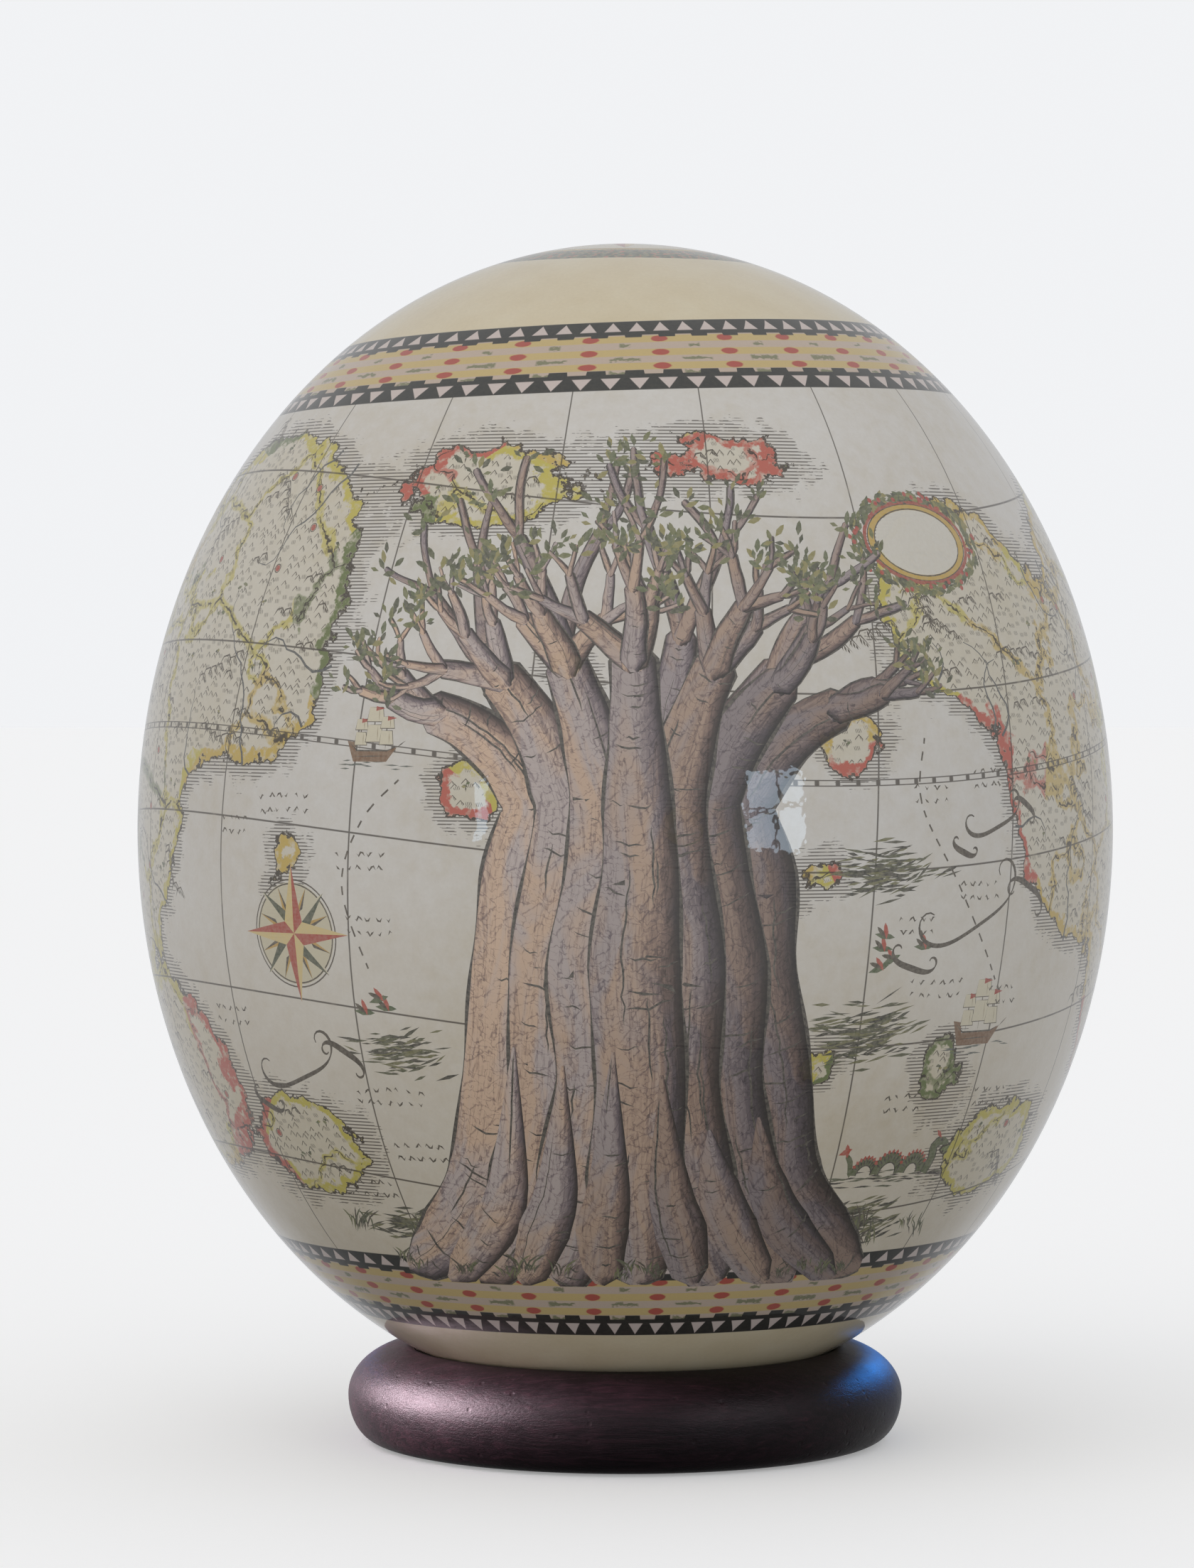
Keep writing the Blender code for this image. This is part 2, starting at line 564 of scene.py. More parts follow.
def small_tree(drawing, draw, place, size):
    """A stem with three dabs of leaves."""
    across, height = place
    drawing.stroke([(across, height), (across, height + size)], 0.2, SEPIA)
    for k in range(3):
        spot = across + draw.uniform(-0.4, 0.4) * size, height + draw.uniform(0.8, 1.4) * size
        drawing.lens(spot, size * 0.8, size * 0.5, draw.uniform(-0.5, 0.5), draw.choice(LEAF_TINTS))


def town(drawing, place):
    """A red dot with a ring round it."""
    drawing.disc(place, 0.42, ink(168, 60, 46), 8)
    drawing.circle(place, 0.52, 0.13, SEPIA, 12)


def river(drawing, draw, lands, longitude, height):
    """A river from a point inland, down to the sea. It bends towards the lowest of four ways ahead."""
    def inland(spot):
        return land_distance(longitude + spot[0] / EGG_RADIUS, spot[1], lands)

    path, step = [(0.0, height)], 1.5
    heading = draw.uniform(0, 2 * math.pi)
    for _ in range(16):
        turns = [heading + change for change in (-0.6, -0.25, 0.25, 0.6)]
        spots = [polar(path[-1], step, turn) for turn in turns]
        best = int(np.argmin([inland(spot) + draw.uniform(0, 1.1) for spot in spots]))
        heading = turns[best]
        path.append(spots[best])
        if inland(path[-1]) < 0.3:
            break
    if len(path) > 5 and all(30 < level < 124 for _, level in path):
        drawing.meridian = longitude
        drawing.ribbon(path, list(np.linspace(0.05, 0.19, len(path))), ink(72, 76, 80))


def compass(drawing, place, radius):
    """A compass rose of sixteen points, each dark on one side and pale on the other."""
    pale = ink(206, 196, 168)
    drawing.disc(place, radius * 0.74, pale, 40)
    for size in (0.78, 0.72, 0.34):
        drawing.circle(place, radius * size, 0.18, SEPIA)
    for count, offset, reach, waist, bend, tones in (
        (8, 0.5, 0.72, 0.2, math.pi / 8, (SEPIA, ink(190, 150, 70))),
        (4, 0.5, 0.84, 0.24, math.pi / 4, (ink(66, 74, 52), pale)),
        (4, 0.0, 1.0, 0.24, math.pi / 4, (ink(170, 66, 50), ink(214, 190, 130))),
    ):
        for k in range(count):
            turn = 2 * math.pi * (k + offset) / count
            tip = polar(place, radius * reach, turn)
            for hand, tone in zip((-1, 1), tones):
                drawing.fan([place, polar(place, radius * waist, turn + hand * bend), tip], tone)


def ship(drawing, draw, place, size):
    """A small three-masted ship on a few waves."""
    def at(a, b):
        return place[0] + a * size, place[1] + b * size

    for k in range(12):
        spot = at(draw.uniform(-1.2, 1.2), draw.uniform(-0.42, -0.16))
        drawing.lens(spot, size * draw.uniform(0.3, 0.6), 0.2, draw.uniform(-0.1, 0.1), ink(92, 98, 92))
    brown, dark = ink(122, 86, 56), SEPIA
    drawing.fan([at(-0.62, -0.2), at(0.5, -0.2), at(0.82, 0.22), at(0.55, 0.12), at(-0.55, 0.1)], brown)
    drawing.fan([at(-0.62, -0.2), at(-0.55, 0.1), at(-0.6, 0.36), at(-0.86, 0.4)], brown)
    drawing.stroke([at(-0.84, 0.38), at(-0.5, 0.12), at(0.5, 0.12), at(0.84, 0.24)], 0.2, dark)
    drawing.stroke([at(-0.66, -0.05), at(0.6, -0.03)], 0.14, dark)
    for mast, top, wide in ((-0.42, 1.05, 0.2), (0.02, 1.4, 0.27), (0.44, 1.12, 0.22)):
        drawing.stroke([at(mast, 0.1), at(mast, top)], 0.2, dark)
        for low, high in ((0.26, 0.62), (0.68, 0.98)):
            low, high = low * top, high * top
            foot = [at(mast - wide, low), at(mast + wide * 1.15, low)]
            sail = [*foot, at(mast + wide * 0.85, high), at(mast - wide * 0.8, high)]
            drawing.fan(sail, ink(214, 204, 178))
            drawing.stroke([sail[3], *sail], 0.13, dark)
            fold = [at(mast + wide * 0.5, low), at(mast + wide * 0.4, high)]
            drawing.stroke(fold, 0.1, ink(150, 132, 100))
        drawing.fan([at(mast, top), at(mast + 0.3, top - 0.06), at(mast, top - 0.14)], ink(164, 58, 46))
    drawing.stroke([at(0.8, 0.2), at(1.1, 0.42)], 0.15, dark)


def birds(drawing, draw, place, count, spread):
    """A flight of small red and green birds."""
    for _ in range(count):
        across = place[0] + draw.uniform(-1, 1) * spread
        height = place[1] + draw.uniform(-0.6, 0.6) * spread
        lean = draw.uniform(-0.2, 0.5)
        drawing.lens((across, height), 3.0, 0.85, lean, ink(70, 88, 52))
        drawing.lens((across + 0.1, height + 0.6), 2.1, 0.7, lean + 1.9, ink(178, 70, 54))
        drawing.lens((across - 0.5, height + 0.45), 1.9, 0.6, lean + 2.5, ink(66, 58, 44))


def thicket(drawing, draw, place, wide, high):
    """A patch of long dark brush strokes, thickest in its middle."""
    tints = (ink(42, 42, 34), ink(54, 56, 40), ink(78, 82, 54), ink(108, 106, 66))
    for _ in range(round(wide * high * 4.2)):
        spot = place[0] + draw.gauss(0, 0.4) * wide, place[1] + draw.gauss(0, 0.34) * high
        lean = 0.12 + draw.gauss(0, 0.14) + (spot[0] - place[0]) * 0.02
        drawing.lens(spot, draw.uniform(1.6, 4.2), draw.uniform(0.2, 0.46), lean, draw.choice(tints))


def flourish(drawing, place, size, lean=0.0):
    """A calligrapher's flourish: a long stroke and two short ones, all with curled ends."""
    half = 22
    steps = [k / (2 * half) for k in range(2 * half + 1)]
    for share, turn, away in ((1.0, 0.25, (0, 0)), (0.46, 2.5, (0.62, 0.3)), (0.4, -0.5, (-0.7, -0.34))):
        headings = [lean + turn + 4.6 * abs(2 * t - 1) ** 3 * (1 if t > 0.5 else -1) for t in steps]
        path = [(0.0, 0.0)]
        for heading in headings[1:]:
            path.append(polar(path[-1], size * share / half, heading))
        middle = path[half]
        left, level = place[0] + away[0] * size, place[1] + away[1] * size
        path = [(left + a - middle[0], level + b - middle[1]) for a, b in path]
        swells = [abs(math.sin(heading - 0.9)) for heading in headings]
        halves = [0.08 + 0.34 * swell * math.sin(math.pi * t) for swell, t in zip(swells, steps)]
        drawing.ribbon(path, halves, SEPIA)


def remarks(drawing, draw, place, rows, count):
    """Short rows of small wavy pen marks, where a chart has its remarks."""
    for row in range(rows):
        bend = draw.uniform(-0.03, 0.03)
        for k in range(count):
            across = (k - count / 2) * 1.5 + draw.uniform(-0.2, 0.2)
            left, level = place[0] + across, place[1] - row * 1.7 + bend * across * across
            phase = draw.uniform(0, 6)
            steps = range(draw.randint(3, 5))
            path = [(left + 0.3 * i, level + 0.3 * math.sin(2.0 * i + phase)) for i in steps]
            drawing.stroke(path, 0.26, SEPIA)


def route(drawing, places):
    """A ship's course as a dashed line."""
    path = smooth(places, 1.1)
    for first, second in list(zip(path, path[1:]))[::2]:
        drawing.strip([first, second], 0.24, SEPIA)


def serpent(drawing, draw, place, size):
    """A sea serpent whose back shows in three arches above the water."""
    def at(a, b):
        return place[0] + a * size, place[1] + b * size

    def coil(path, half):
        """A stretch of the body, with a dark rim."""
        for rim, colour in ((0.16, PEN), (0.0, green)):
            drawing.ribbon(path, [half * size + rim] * len(path), colour)

    green, red = ink(84, 94, 58), ink(176, 70, 54)
    foam = (PEN, ink(88, 92, 70))
    for _ in range(46):
        spot = at(draw.uniform(-1.7, 1.7), draw.gauss(-0.12, 0.1))
        drawing.lens(spot, size * draw.uniform(0.25, 0.6), 0.24, draw.uniform(-0.05, 0.1), draw.choice(foam))
    turns = [math.pi * k / 12 for k in range(13)]
    for middle, reach, half in ((-0.85, 0.28, 0.07), (-0.2, 0.34, 0.1), (0.5, 0.3, 0.11)):
        arch = [at(middle - reach * math.cos(t), reach * 1.1 * math.sin(t)) for t in turns]
        coil(arch, half)
        for turn, spot in list(zip(turns, arch))[2:11]:
            drawing.lens(spot, size * 0.16, 0.26, math.pi - turn, PEN)
            out, up = math.cos(turn) * half * size, math.sin(turn) * half * size * 1.4
            drawing.lens((spot[0] - out, spot[1] + up), size * 0.12, 0.5, math.pi - turn, red)
    coil(smooth([at(0.95, -0.05), at(1.05, 0.3), at(1.0, 0.56), at(1.16, 0.68)], 0.5), 0.1)
    drawing.lens(at(1.26, 0.66), size * 0.46, size * 0.2, -0.25, green)
    drawing.lens(at(1.06, 0.84), size * 0.3, size * 0.1, 2.4, red)
    drawing.disc(at(1.2, 0.7), 0.24, PEN, 8)
    drawing.stroke(smooth([at(-1.2, -0.05), at(-1.3, 0.3), at(-1.48, 0.5)], 0.6), size * 0.13, green)
    drawing.lens(at(-1.52, 0.56), size * 0.34, size * 0.13, 0.4, red)
    drawing.lens(at(-1.48, 0.58), size * 0.34, size * 0.13, 1.9, red)


def wreath(drawing, draw, place, wide, high):
    """An oval garland of leaves and berries round an empty tablet."""
    sides = 40
    for size, width, colour in (
        (0.86, 0.9, ink(196, 160, 70)),
        (0.8, 0.16, SEPIA),
        (0.92, 0.16, SEPIA),
        (0.97, 0.5, ink(160, 66, 52)),
    ):
        drawing.strip(ellipse(place, wide * size, high * size, sides), width, colour)
    drawing.fan(ellipse(place, wide * 0.78, high * 0.78, sides)[:-1], ink(214, 208, 196))

    def scattered(count, nearest, farthest):
        """Directions from the tablet's middle, and spots that lie there round it."""
        for _ in range(count):
            turn = draw.uniform(0, 2 * math.pi)
            out = draw.uniform(nearest, farthest)
            yield turn, (place[0] + wide * out * math.cos(turn), place[1] + high * out * math.sin(turn))

    for turn, spot in scattered(260, 1.02, 1.22):
        length, lean = draw.uniform(1.1, 1.9), turn + 1.57 + draw.uniform(-0.7, 0.7)
        drawing.lens(spot, length, 0.6, lean, draw.choice(LEAF_TINTS))
    for _, spot in scattered(36, 1.0, 1.25):
        drawing.disc(spot, 0.32, ink(170, 56, 46), 7)


def country(drawing, lands):
    """Hills, trees, towns and rivers spread over the lands."""
    draw = random.Random(COUNTRY_SEED)
    spots = []
    for _ in range(SPOT_TRIES):
        longitude, height = draw.uniform(-176, 176), draw.uniform(27, 125)
        across = longitude * math.pi / 180 * EGG_RADIUS
        inside = land_distance(math.radians(longitude), height, lands)
        if inside > 1.6 and all(math.hypot(across - a, height - b) > SPOT_SPACING for a, b in spots):
            spots.append((across, height))
    for index, (across, height) in enumerate(spots):
        drawing.meridian = across / EGG_RADIUS
        if index % 4 == 0:
            river(drawing, draw, lands, drawing.meridian, height)
            drawing.meridian = across / EGG_RADIUS
        kind = draw.random()
        if index % 8 == 0:
            ridge(drawing, draw, (0, height), 7)
        elif kind < 0.5:
            for k in range(draw.choice((1, 2, 2))):
                place = k * 1.5 - 1, height + draw.uniform(-0.3, 0.3)
                hill(drawing, place, draw.uniform(0.9, 1.3))
        elif kind < 0.8:
            for k in range(draw.choice((1, 2))):
                place = k * 1.3 - 0.5, height + draw.uniform(-0.3, 0.3)
                small_tree(drawing, draw, place, draw.uniform(0.7, 1.0))
        else:
            town(drawing, (0, height))


def printed_shapes(lands):
    """Everything printed on the paper, from the lowest layer to the highest."""
    drawing = Drawing()
    draw = random.Random(SIGN_SEED)
    country(drawing, lands)
    sea_signs(drawing, draw)
    drawing.turn_to(0)
    thicket(drawing, draw, (-26, 27), 9, 3.4)
    thicket(drawing, draw, (29, 28), 10, 4)
    for _ in range(26):
        grass(drawing, draw, (draw.uniform(-38, 42), draw.uniform(24.5, 27)), draw.uniform(2.0, 4.0))
    Baobab(drawing, FRONT_TREE_SEED, (1.0, 22.5), 1.0, 7)
    for _ in range(20):
        grass(drawing, draw, (draw.uniform(-30, 32), draw.uniform(20.8, 22.2)), draw.uniform(1.4, 2.6))
    drawing.turn_to(-158)
    Baobab(drawing, BACK_TREE_SEED, (0, 64), 0.45, 5)
    return drawing.flat()


def sea_signs(drawing, draw):
    """What fills the seas: a compass, ships, courses, flourishes, birds and brush strokes."""
    drawing.turn_to(-38)
    compass(drawing, (-2, 64), 8.5)
    thicket(drawing, draw, (12, 50), 7, 3.2)
    birds(drawing, draw, (10, 56), 3, 3)
    flourish(drawing, (-4, 46), 12, 0.1)
    ship(drawing, draw, (10, 86), 4.2)
    route(drawing, [(14, 83), (9, 78), (6, 70), (9, 60)])
    for place in ((9, 74), (-12, 78), (2, 33), (11, 38), (-16, 54), (10, 66), (-3, 81), (9, 45)):
        remarks(drawing, draw, place, 2, draw.randint(4, 7))
    drawing.turn_to(38)
    wreath(drawing, draw, (2, 112), 8.6, 5.2)
    thicket(drawing, draw, (-9, 72), 8, 4.2)
    thicket(drawing, draw, (-10, 52), 8, 5)
    birds(drawing, draw, (-6, 62), 5, 5)
    flourish(drawing, (6, 65), 15, 0.2)
    flourish(drawing, (9, 77), 9, 0.1)
    ship(drawing, draw, (8, 51), 5.2)
    serpent(drawing, draw, (0, 34), 5.6)
    route(drawing, [(10, 58), (2, 70), (-4, 80), (-3, 88)])
    for place in ((-2, 82), (-2, 44), (14, 44), (9, 84), (0, 58), (6, 70), (-4, 66), (12, 57)):
        remarks(drawing, draw, place, 2, draw.randint(4, 7))
    drawing.turn_to(150)
    compass(drawing, (0, 58), 8.5)
    drawing.turn_to(117)
    ship(drawing, draw, (0, 86), 5.0)
    flourish(drawing, (0, 104), 9)
    drawing.turn_to(-105)
    flourish(drawing, (0, 112), 10)
    drawing.turn_to(-112)
    ship(drawing, draw, (0, 33), 5.0)
    birds(drawing, draw, (4, 84), 5, 5)
    drawing.turn_to(178)
    serpent(drawing, draw, (0, 72), 5.6)
    flourish(drawing, (0, 112), 12)


# The egg's mesh

def round_pairs(ring):
    """Each entry of a closed ring with the one after it."""
    return zip(ring, ring[1:] + ring[:1])


def triangulated(points, edges, outlines):
    """Triangles inside the outlines, with the edges among their sides."""
    return delaunay_2d_cdt([Vector(point) for point in points], edges, outlines, 1, CLOSE, True)


def clipped(places, axis, limit, keep_above):
    """A convex outline cut off at one side of a tile."""
    kept = []
    for a, b in round_pairs(places):
        a_in = (a[axis] >= limit) == keep_above or a[axis] == limit
        b_in = (b[axis] >= limit) == keep_above or b[axis] == limit
        if a_in:
            kept.append(a)
        if a_in != b_in:
            share = (limit - a[axis]) / (b[axis] - a[axis])
            cross = [a[0] + (b[0] - a[0]) * share, a[1] + (b[1] - a[1]) * share]
            cross[axis] = limit
            kept.append(tuple(cross))
    return kept


def outlines_between(faces, looks):
    """The edges where the look changes, as {(start, end): the look on the left}."""
    left = {}
    for face, look in zip(faces, looks):
        for pair in round_pairs(face):
            left[pair] = look
    return {pair: look for pair, look in left.items() if left.get(pair[::-1]) != look}


def straighten(outlines, corners, fixed):
    """Drops the corners that lie on a straight run of the outlines. Returns the corners still in use."""
    near = {}
    for a, b in outlines:
        near.setdefault(a, set()).add(b)
        near.setdefault(b, set()).add(a)
    for corner, ends in near.items():
        if len(ends) != 2 or corner in fixed:
            continue
        a, b = ends
        x, y = corners[b][0] - corners[a][0], corners[b][1] - corners[a][1]
        right, up = corners[corner][0] - corners[a][0], corners[corner][1] - corners[a][1]
        if b in near[a] or abs(x * up - y * right) > STRAIGHT * math.hypot(x, y) or x * right + y * up < 0:
            continue
        for start, end in ((a, b), (b, a)):
            if (start, corner) in outlines:
                outlines[start, end] = outlines.pop((start, corner))
                del outlines[corner, end]
            near[start].remove(corner)
            near[start].add(end)
        ends.clear()
    return [corner for corner, ends in near.items() if ends]


def area_of(places):
    return sum(a[0] * b[1] - b[0] * a[1] for a, b in round_pairs(places)) / 2


def holds(places, spot):
    """Whether a convex outline, given counter-clockwise, has a spot inside it."""
    return all(
        (b[0] - a[0]) * (spot[1] - a[1]) >= (b[1] - a[1]) * (spot[0] - a[0]) for a, b in round_pairs(places)
    )


def topmost(corners, faces, sources, outlines):
    """The highest outline over each face.

    A very thin outline can spoil what the triangulation says about it and its neighbours. Where an outline
    covers more or less than its own area, its faces are found one by one.
    """
    places = [[corners[k] for k in face] for face in faces]
    covered = [0.0] * len(outlines)
    for face, above in zip(places, sources):
        area = area_of(face)
        for k in above:
            covered[k] += area
    own = [area_of(outline) for outline in outlines]
    spoilt = {k for k in range(1, len(outlines)) if abs(covered[k] - own[k]) > own[k] * 0.02 + 0.002}
    found = []
    for face, above in zip(places, sources):
        best = max((k for k in above if k not in spoilt), default=0)
        middle = [sum(values) / 3 for values in zip(*face)]
        found.append(max((k for k in spoilt if k > best and holds(outlines[k], middle)), default=best))
    return found


def refilled(corners, outlines, used, loose):
    """Triangles between the outlines, and each one's look."""
    number = {corner: k for k, corner in enumerate(used)}
    pairs = [(a, b) for a, b in outlines if a < b or (b, a) not in outlines]
    ahead = {a: b for a, b in outlines if (b, a) not in outlines}
    rim = [next(iter(ahead))]
    while ahead[rim[-1]] != rim[0]:
        rim.append(ahead[rim[-1]])
    edges = [(number[a], number[b]) for a, b in pairs]
    found = triangulated([corners[k] for k in used + loose], edges, [[number[k] for k in rim]])
    places, faces = [tuple(p) for p in found[0]], found[2]
    left = {}
    for (i, j), sources in zip(found[1], found[4]):
        for a, b in (pairs[k] for k in sources if k < len(pairs)):
            run = (places[j][0] - places[i][0]) * (corners[b][0] - corners[a][0])
            rise = (places[j][1] - places[i][1]) * (corners[b][1] - corners[a][1])
            start, end = (i, j) if run + rise > 0 else (j, i)
            left[start, end] = outlines.get((a, b))
            left[end, start] = outlines.get((b, a))
    owner = {pair: k for k, face in enumerate(faces) for pair in round_pairs(face)}
    looks = [None] * len(faces)
    open_faces = []
    for pair, look in left.items():
        if look is not None and pair in owner:
            looks[owner[pair]] = look
            open_faces.append(owner[pair])
    while open_faces:
        index = open_faces.pop()
        for a, b in round_pairs(faces[index]):
            other = None if (a, b) in left else owner.get((b, a))
            if other is not None and looks[other] is None:
                looks[other] = looks[index]
                open_faces.append(other)
    return places, faces, [-1 if look is None else look for look in looks]


def tile(low, high, shapes, looks):
    """Triangles that fill a tile, and each one's look: that of its topmost shape, or -1 on bare paper.

    The shapes are (number, outline) pairs, lowest first.
    """
    wide, tall = high[0] - low[0], high[1] - low[1]
    shares = [k / TILE_EDGES for k in range(TILE_EDGES)]
    border = [(low[0] + wide * k, low[1]) for k in shares]
    border += [(high[0], low[1] + tall * k) for k in shares]
    border += [(high[0] - wide * k, high[1]) for k in shares]
    border += [(low[0], high[1] - tall * k) for k in shares]
    points = list(border)
    outlines = [list(range(len(border)))]
    numbers = [-1]
    for number, places in shapes:
        for axis in (0, 1):
            if min(p[axis] for p in places) < low[axis]:
                places = clipped(places, axis, low[axis], True)
            if places and max(p[axis] for p in places) > high[axis]:
                places = clipped(places, axis, high[axis], False)
        if len(places) < 3:
            continue
        outlines.append(list(range(len(points), len(points) + len(places))))
        points += places
        numbers.append(number)
    first_loose = len(points)
    step = wide / TILE_EDGES
    rows = round(tall / (step * ROW_SHARE))
    for row in range(1, rows):
        shift = 0.5 * (row % 2)
        for k in range(TILE_EDGES):
            x = low[0] + (k + shift + 0.25) * step
            if low[0] + 0.4 * step < x < high[0] - 0.4 * step:
                points.append((x, low[1] + tall * row / rows))
    found = triangulated(points, [], outlines)
    corners, faces = [tuple(c) for c in found[0]], found[2]
    drawn = [[points[k] for k in outline] for outline in outlines]
    tops = [numbers[k] for k in topmost(corners, faces, found[5], drawn)]
    tops = [-1 if top < 0 else looks[top] for top in tops]
    if len(numbers) == 1:
        return corners, faces, tops
    fixed = {k for k, sources in enumerate(found[3]) if any(source < len(border) for source in sources)}
    outlines = outlines_between(faces, tops)
    used = straighten(outlines, corners, fixed)
    on_outlines = {corner for pair in outlines_between(faces, tops) for corner in pair}
    loose = [k for k, sources in enumerate(found[3]) if any(source >= first_loose for source in sources)]
    return refilled(corners, outlines, used, [k for k in loose if k not in on_outlines])


def drawn_zone(shapes, values):
    """The zone with printed shapes: corners in the flat plane, faces, and each face's topmost shape.

    Shapes of one flat ink count as one look, which is the number of the first of them.
    """
    first_of = {}
    looks = [
        number if shape[0][7] > 0.5 else first_of.setdefault(tuple(shape[0]), number)
        for number, shape in enumerate(values.tolist())
    ]
    girth = 2 * math.pi * EGG_RADIUS
    columns = [-girth / 2 + girth * k / TILE_COLUMNS for k in range(TILE_COLUMNS + 1)]
    low, high = float(length_at(DRAWN_LOW)), float(length_at(DRAWN_HIGH))
    rows = [low + (high - low) * k / TILE_ROWS for k in range(TILE_ROWS + 1)]
    lowest, highest = shapes.min(1), shapes.max(1)
    outlines = [[tuple(p) for p in shape] for shape in shapes.tolist()]
    corners, faces, tops = [], [], []
    for left, right in zip(columns, columns[1:]):
        for bottom, top in zip(rows, rows[1:]):
            beside = (lowest[:, 0] < right) & (highest[:, 0] > left)
            level = (lowest[:, 1] < top) & (highest[:, 1] > bottom)
            chosen = [(int(k), outlines[k]) for k in np.nonzero(beside & level)[0]]
            made, sides, kinds = tile((left, bottom), (right, top), chosen, looks)
            base = len(corners)
            corners += made
            faces += [[base + k for k in side] for side in sides]
            tops += kinds
    return np.array(corners), np.array(faces), np.array(tops)


def cap(reach, flip):
    """A round cap in its own flat plane: corners as (longitude, distance from the pole), and faces."""
    count = TILE_COLUMNS * TILE_EDGES
    turns = [2 * math.pi * k / count - math.pi for k in range(count)]
    rim = [(reach * math.sin(t), -reach * math.cos(t)) for t in turns]
    step = 2.1
    inner = []
    rows = int(reach / (step * ROW_SHARE)) + 1
    for row in range(-rows, rows + 1):
        for column in range(-rows, rows + 1):
            spot = ((column + 0.5 * (row % 2)) * step, row * step * ROW_SHARE)
            if math.hypot(*spot) < reach - 1.0:
                inner.append(spot)
    found = triangulated(rim + inner, [], [list(range(count))])
    places = np.array([tuple(c) for c in found[0]])
    longitude = np.arctan2(places[:, 0], -places[:, 1])
    distance = np.hypot(places[:, 0], places[:, 1])
    distance[distance > reach - 0.01] = reach
    faces = np.array([list(f)[::-1] if flip else list(f) for f in found[2]])
    return longitude, distance, faces


def inside_shares(places, triangles):
    """Barycentric shares of places in their triangles."""
    a, b, c = triangles[:, 0], triangles[:, 1], triangles[:, 2]
    ab, ac, ap = b - a, c - a, places - a
    whole = ab[:, 0] * ac[:, 1] - ab[:, 1] * ac[:, 0]
    second = (ap[:, 0] * ac[:, 1] - ap[:, 1] * ac[:, 0]) / whole
    third = (ab[:, 0] * ap[:, 1] - ab[:, 1] * ap[:, 0]) / whole
    return np.stack([1 - second - third, second, third], 1)


def add_values(mesh, name, kind, domain, values):
    """A named attribute of the mesh, for each point or each face corner."""
    layer = mesh.attributes.new(name, kind, domain)
    field = {"FLOAT": "value", "FLOAT_VECTOR": "vector", "FLOAT_COLOR": "color"}[kind]
    layer.data.foreach_set(field, np.ascontiguousarray(values, np.float32).ravel())


def egg_mesh(lands):
    """The whole egg as one closed mesh with the printed shapes in it."""
    shapes, values = printed_shapes(lands)
    places, faces, tops = drawn_zone(shapes, values)
    longitude, length = places[:, 0] / EGG_RADIUS, places[:, 1]
    all_faces, all_tops = [faces], [tops]
    low, high = float(length_at(DRAWN_LOW)), float(length_at(DRAWN_HIGH))
    for reach, flip in ((low, True), (FULL_LENGTH - high, False)):
        around, away, more = cap(reach, flip)
        all_faces.append(more + len(longitude))
        all_tops.append(np.full(len(more), -1))
        longitude = np.concatenate([longitude, around])
        length = np.concatenate([length, away if flip else FULL_LENGTH - away])
    faces, tops = np.concatenate(all_faces), np.concatenate(all_tops)
    points, normals = surface(longitude, length)
    height = np.interp(length, LENGTHS, HEIGHTS)

    mesh = bpy.data.meshes.new("egg")
    mesh.from_pydata(points, [], faces)
    corner = faces.ravel()
    turned = longitude[faces]
    turned = turned + 2 * math.pi * np.round((turned[:, :1] - turned) / (2 * math.pi))
    where = np.stack([turned.ravel(), height[corner], length[corner]], 1)
    add_values(mesh, "around", "FLOAT_VECTOR", "CORNER", where)
    add_values(mesh, "land", "FLOAT", "POINT", land_distance(longitude, height, lands))
    add_values(mesh, "outward", "FLOAT_VECTOR", "POINT", normals)
    corner_values = np.zeros((len(corner), 8))
    owner = np.repeat(tops, 3)
    printed = owner >= 0
    flat = np.stack([turned.ravel() * EGG_RADIUS, length[corner]], 1)
    shares = inside_shares(flat[printed], shapes[owner[printed]])
    corner_values[printed] = np.einsum("ij,ijk->ik", shares, values[owner[printed]])
    add_values(mesh, "ink", "FLOAT_COLOR", "CORNER", corner_values[:, :4])
    add_values(mesh, "limb", "FLOAT_VECTOR", "CORNER", corner_values[:, 4:7])
    add_values(mesh, "bark", "FLOAT", "CORNER", corner_values[:, 7])
    return mesh


def weld(mesh, distance):
    """Joins corners that lie together, such as those along the tiles' borders."""
    shape = bmesh.new()
    shape.from_mesh(mesh)
    bmesh.ops.remove_doubles(shape, verts=shape.verts, dist=distance)
    bmesh.ops.dissolve_degenerate(shape, edges=shape.edges, dist=distance / 2)
    bmesh.ops.triangulate(shape, faces=[f for f in shape.faces if len(f.verts) > 3])
    shape.to_mesh(mesh)
    shape.free()


def keep_true_normals(mesh):
    """Shades the mesh with the egg's own normals, so that its gloss doesn't show the triangles."""
    normals = np.zeros(len(mesh.vertices) * 3, np.float32)
    mesh.attributes["outward"].data.foreach_get("vector", normals)
    normals = normals.reshape(-1, 3)
    mesh.shade_smooth()
    mesh.normals_split_custom_set_from_vertices([tuple(n) for n in normals.tolist()])
    mesh.attributes.remove(mesh.attributes["outward"])


# Material building

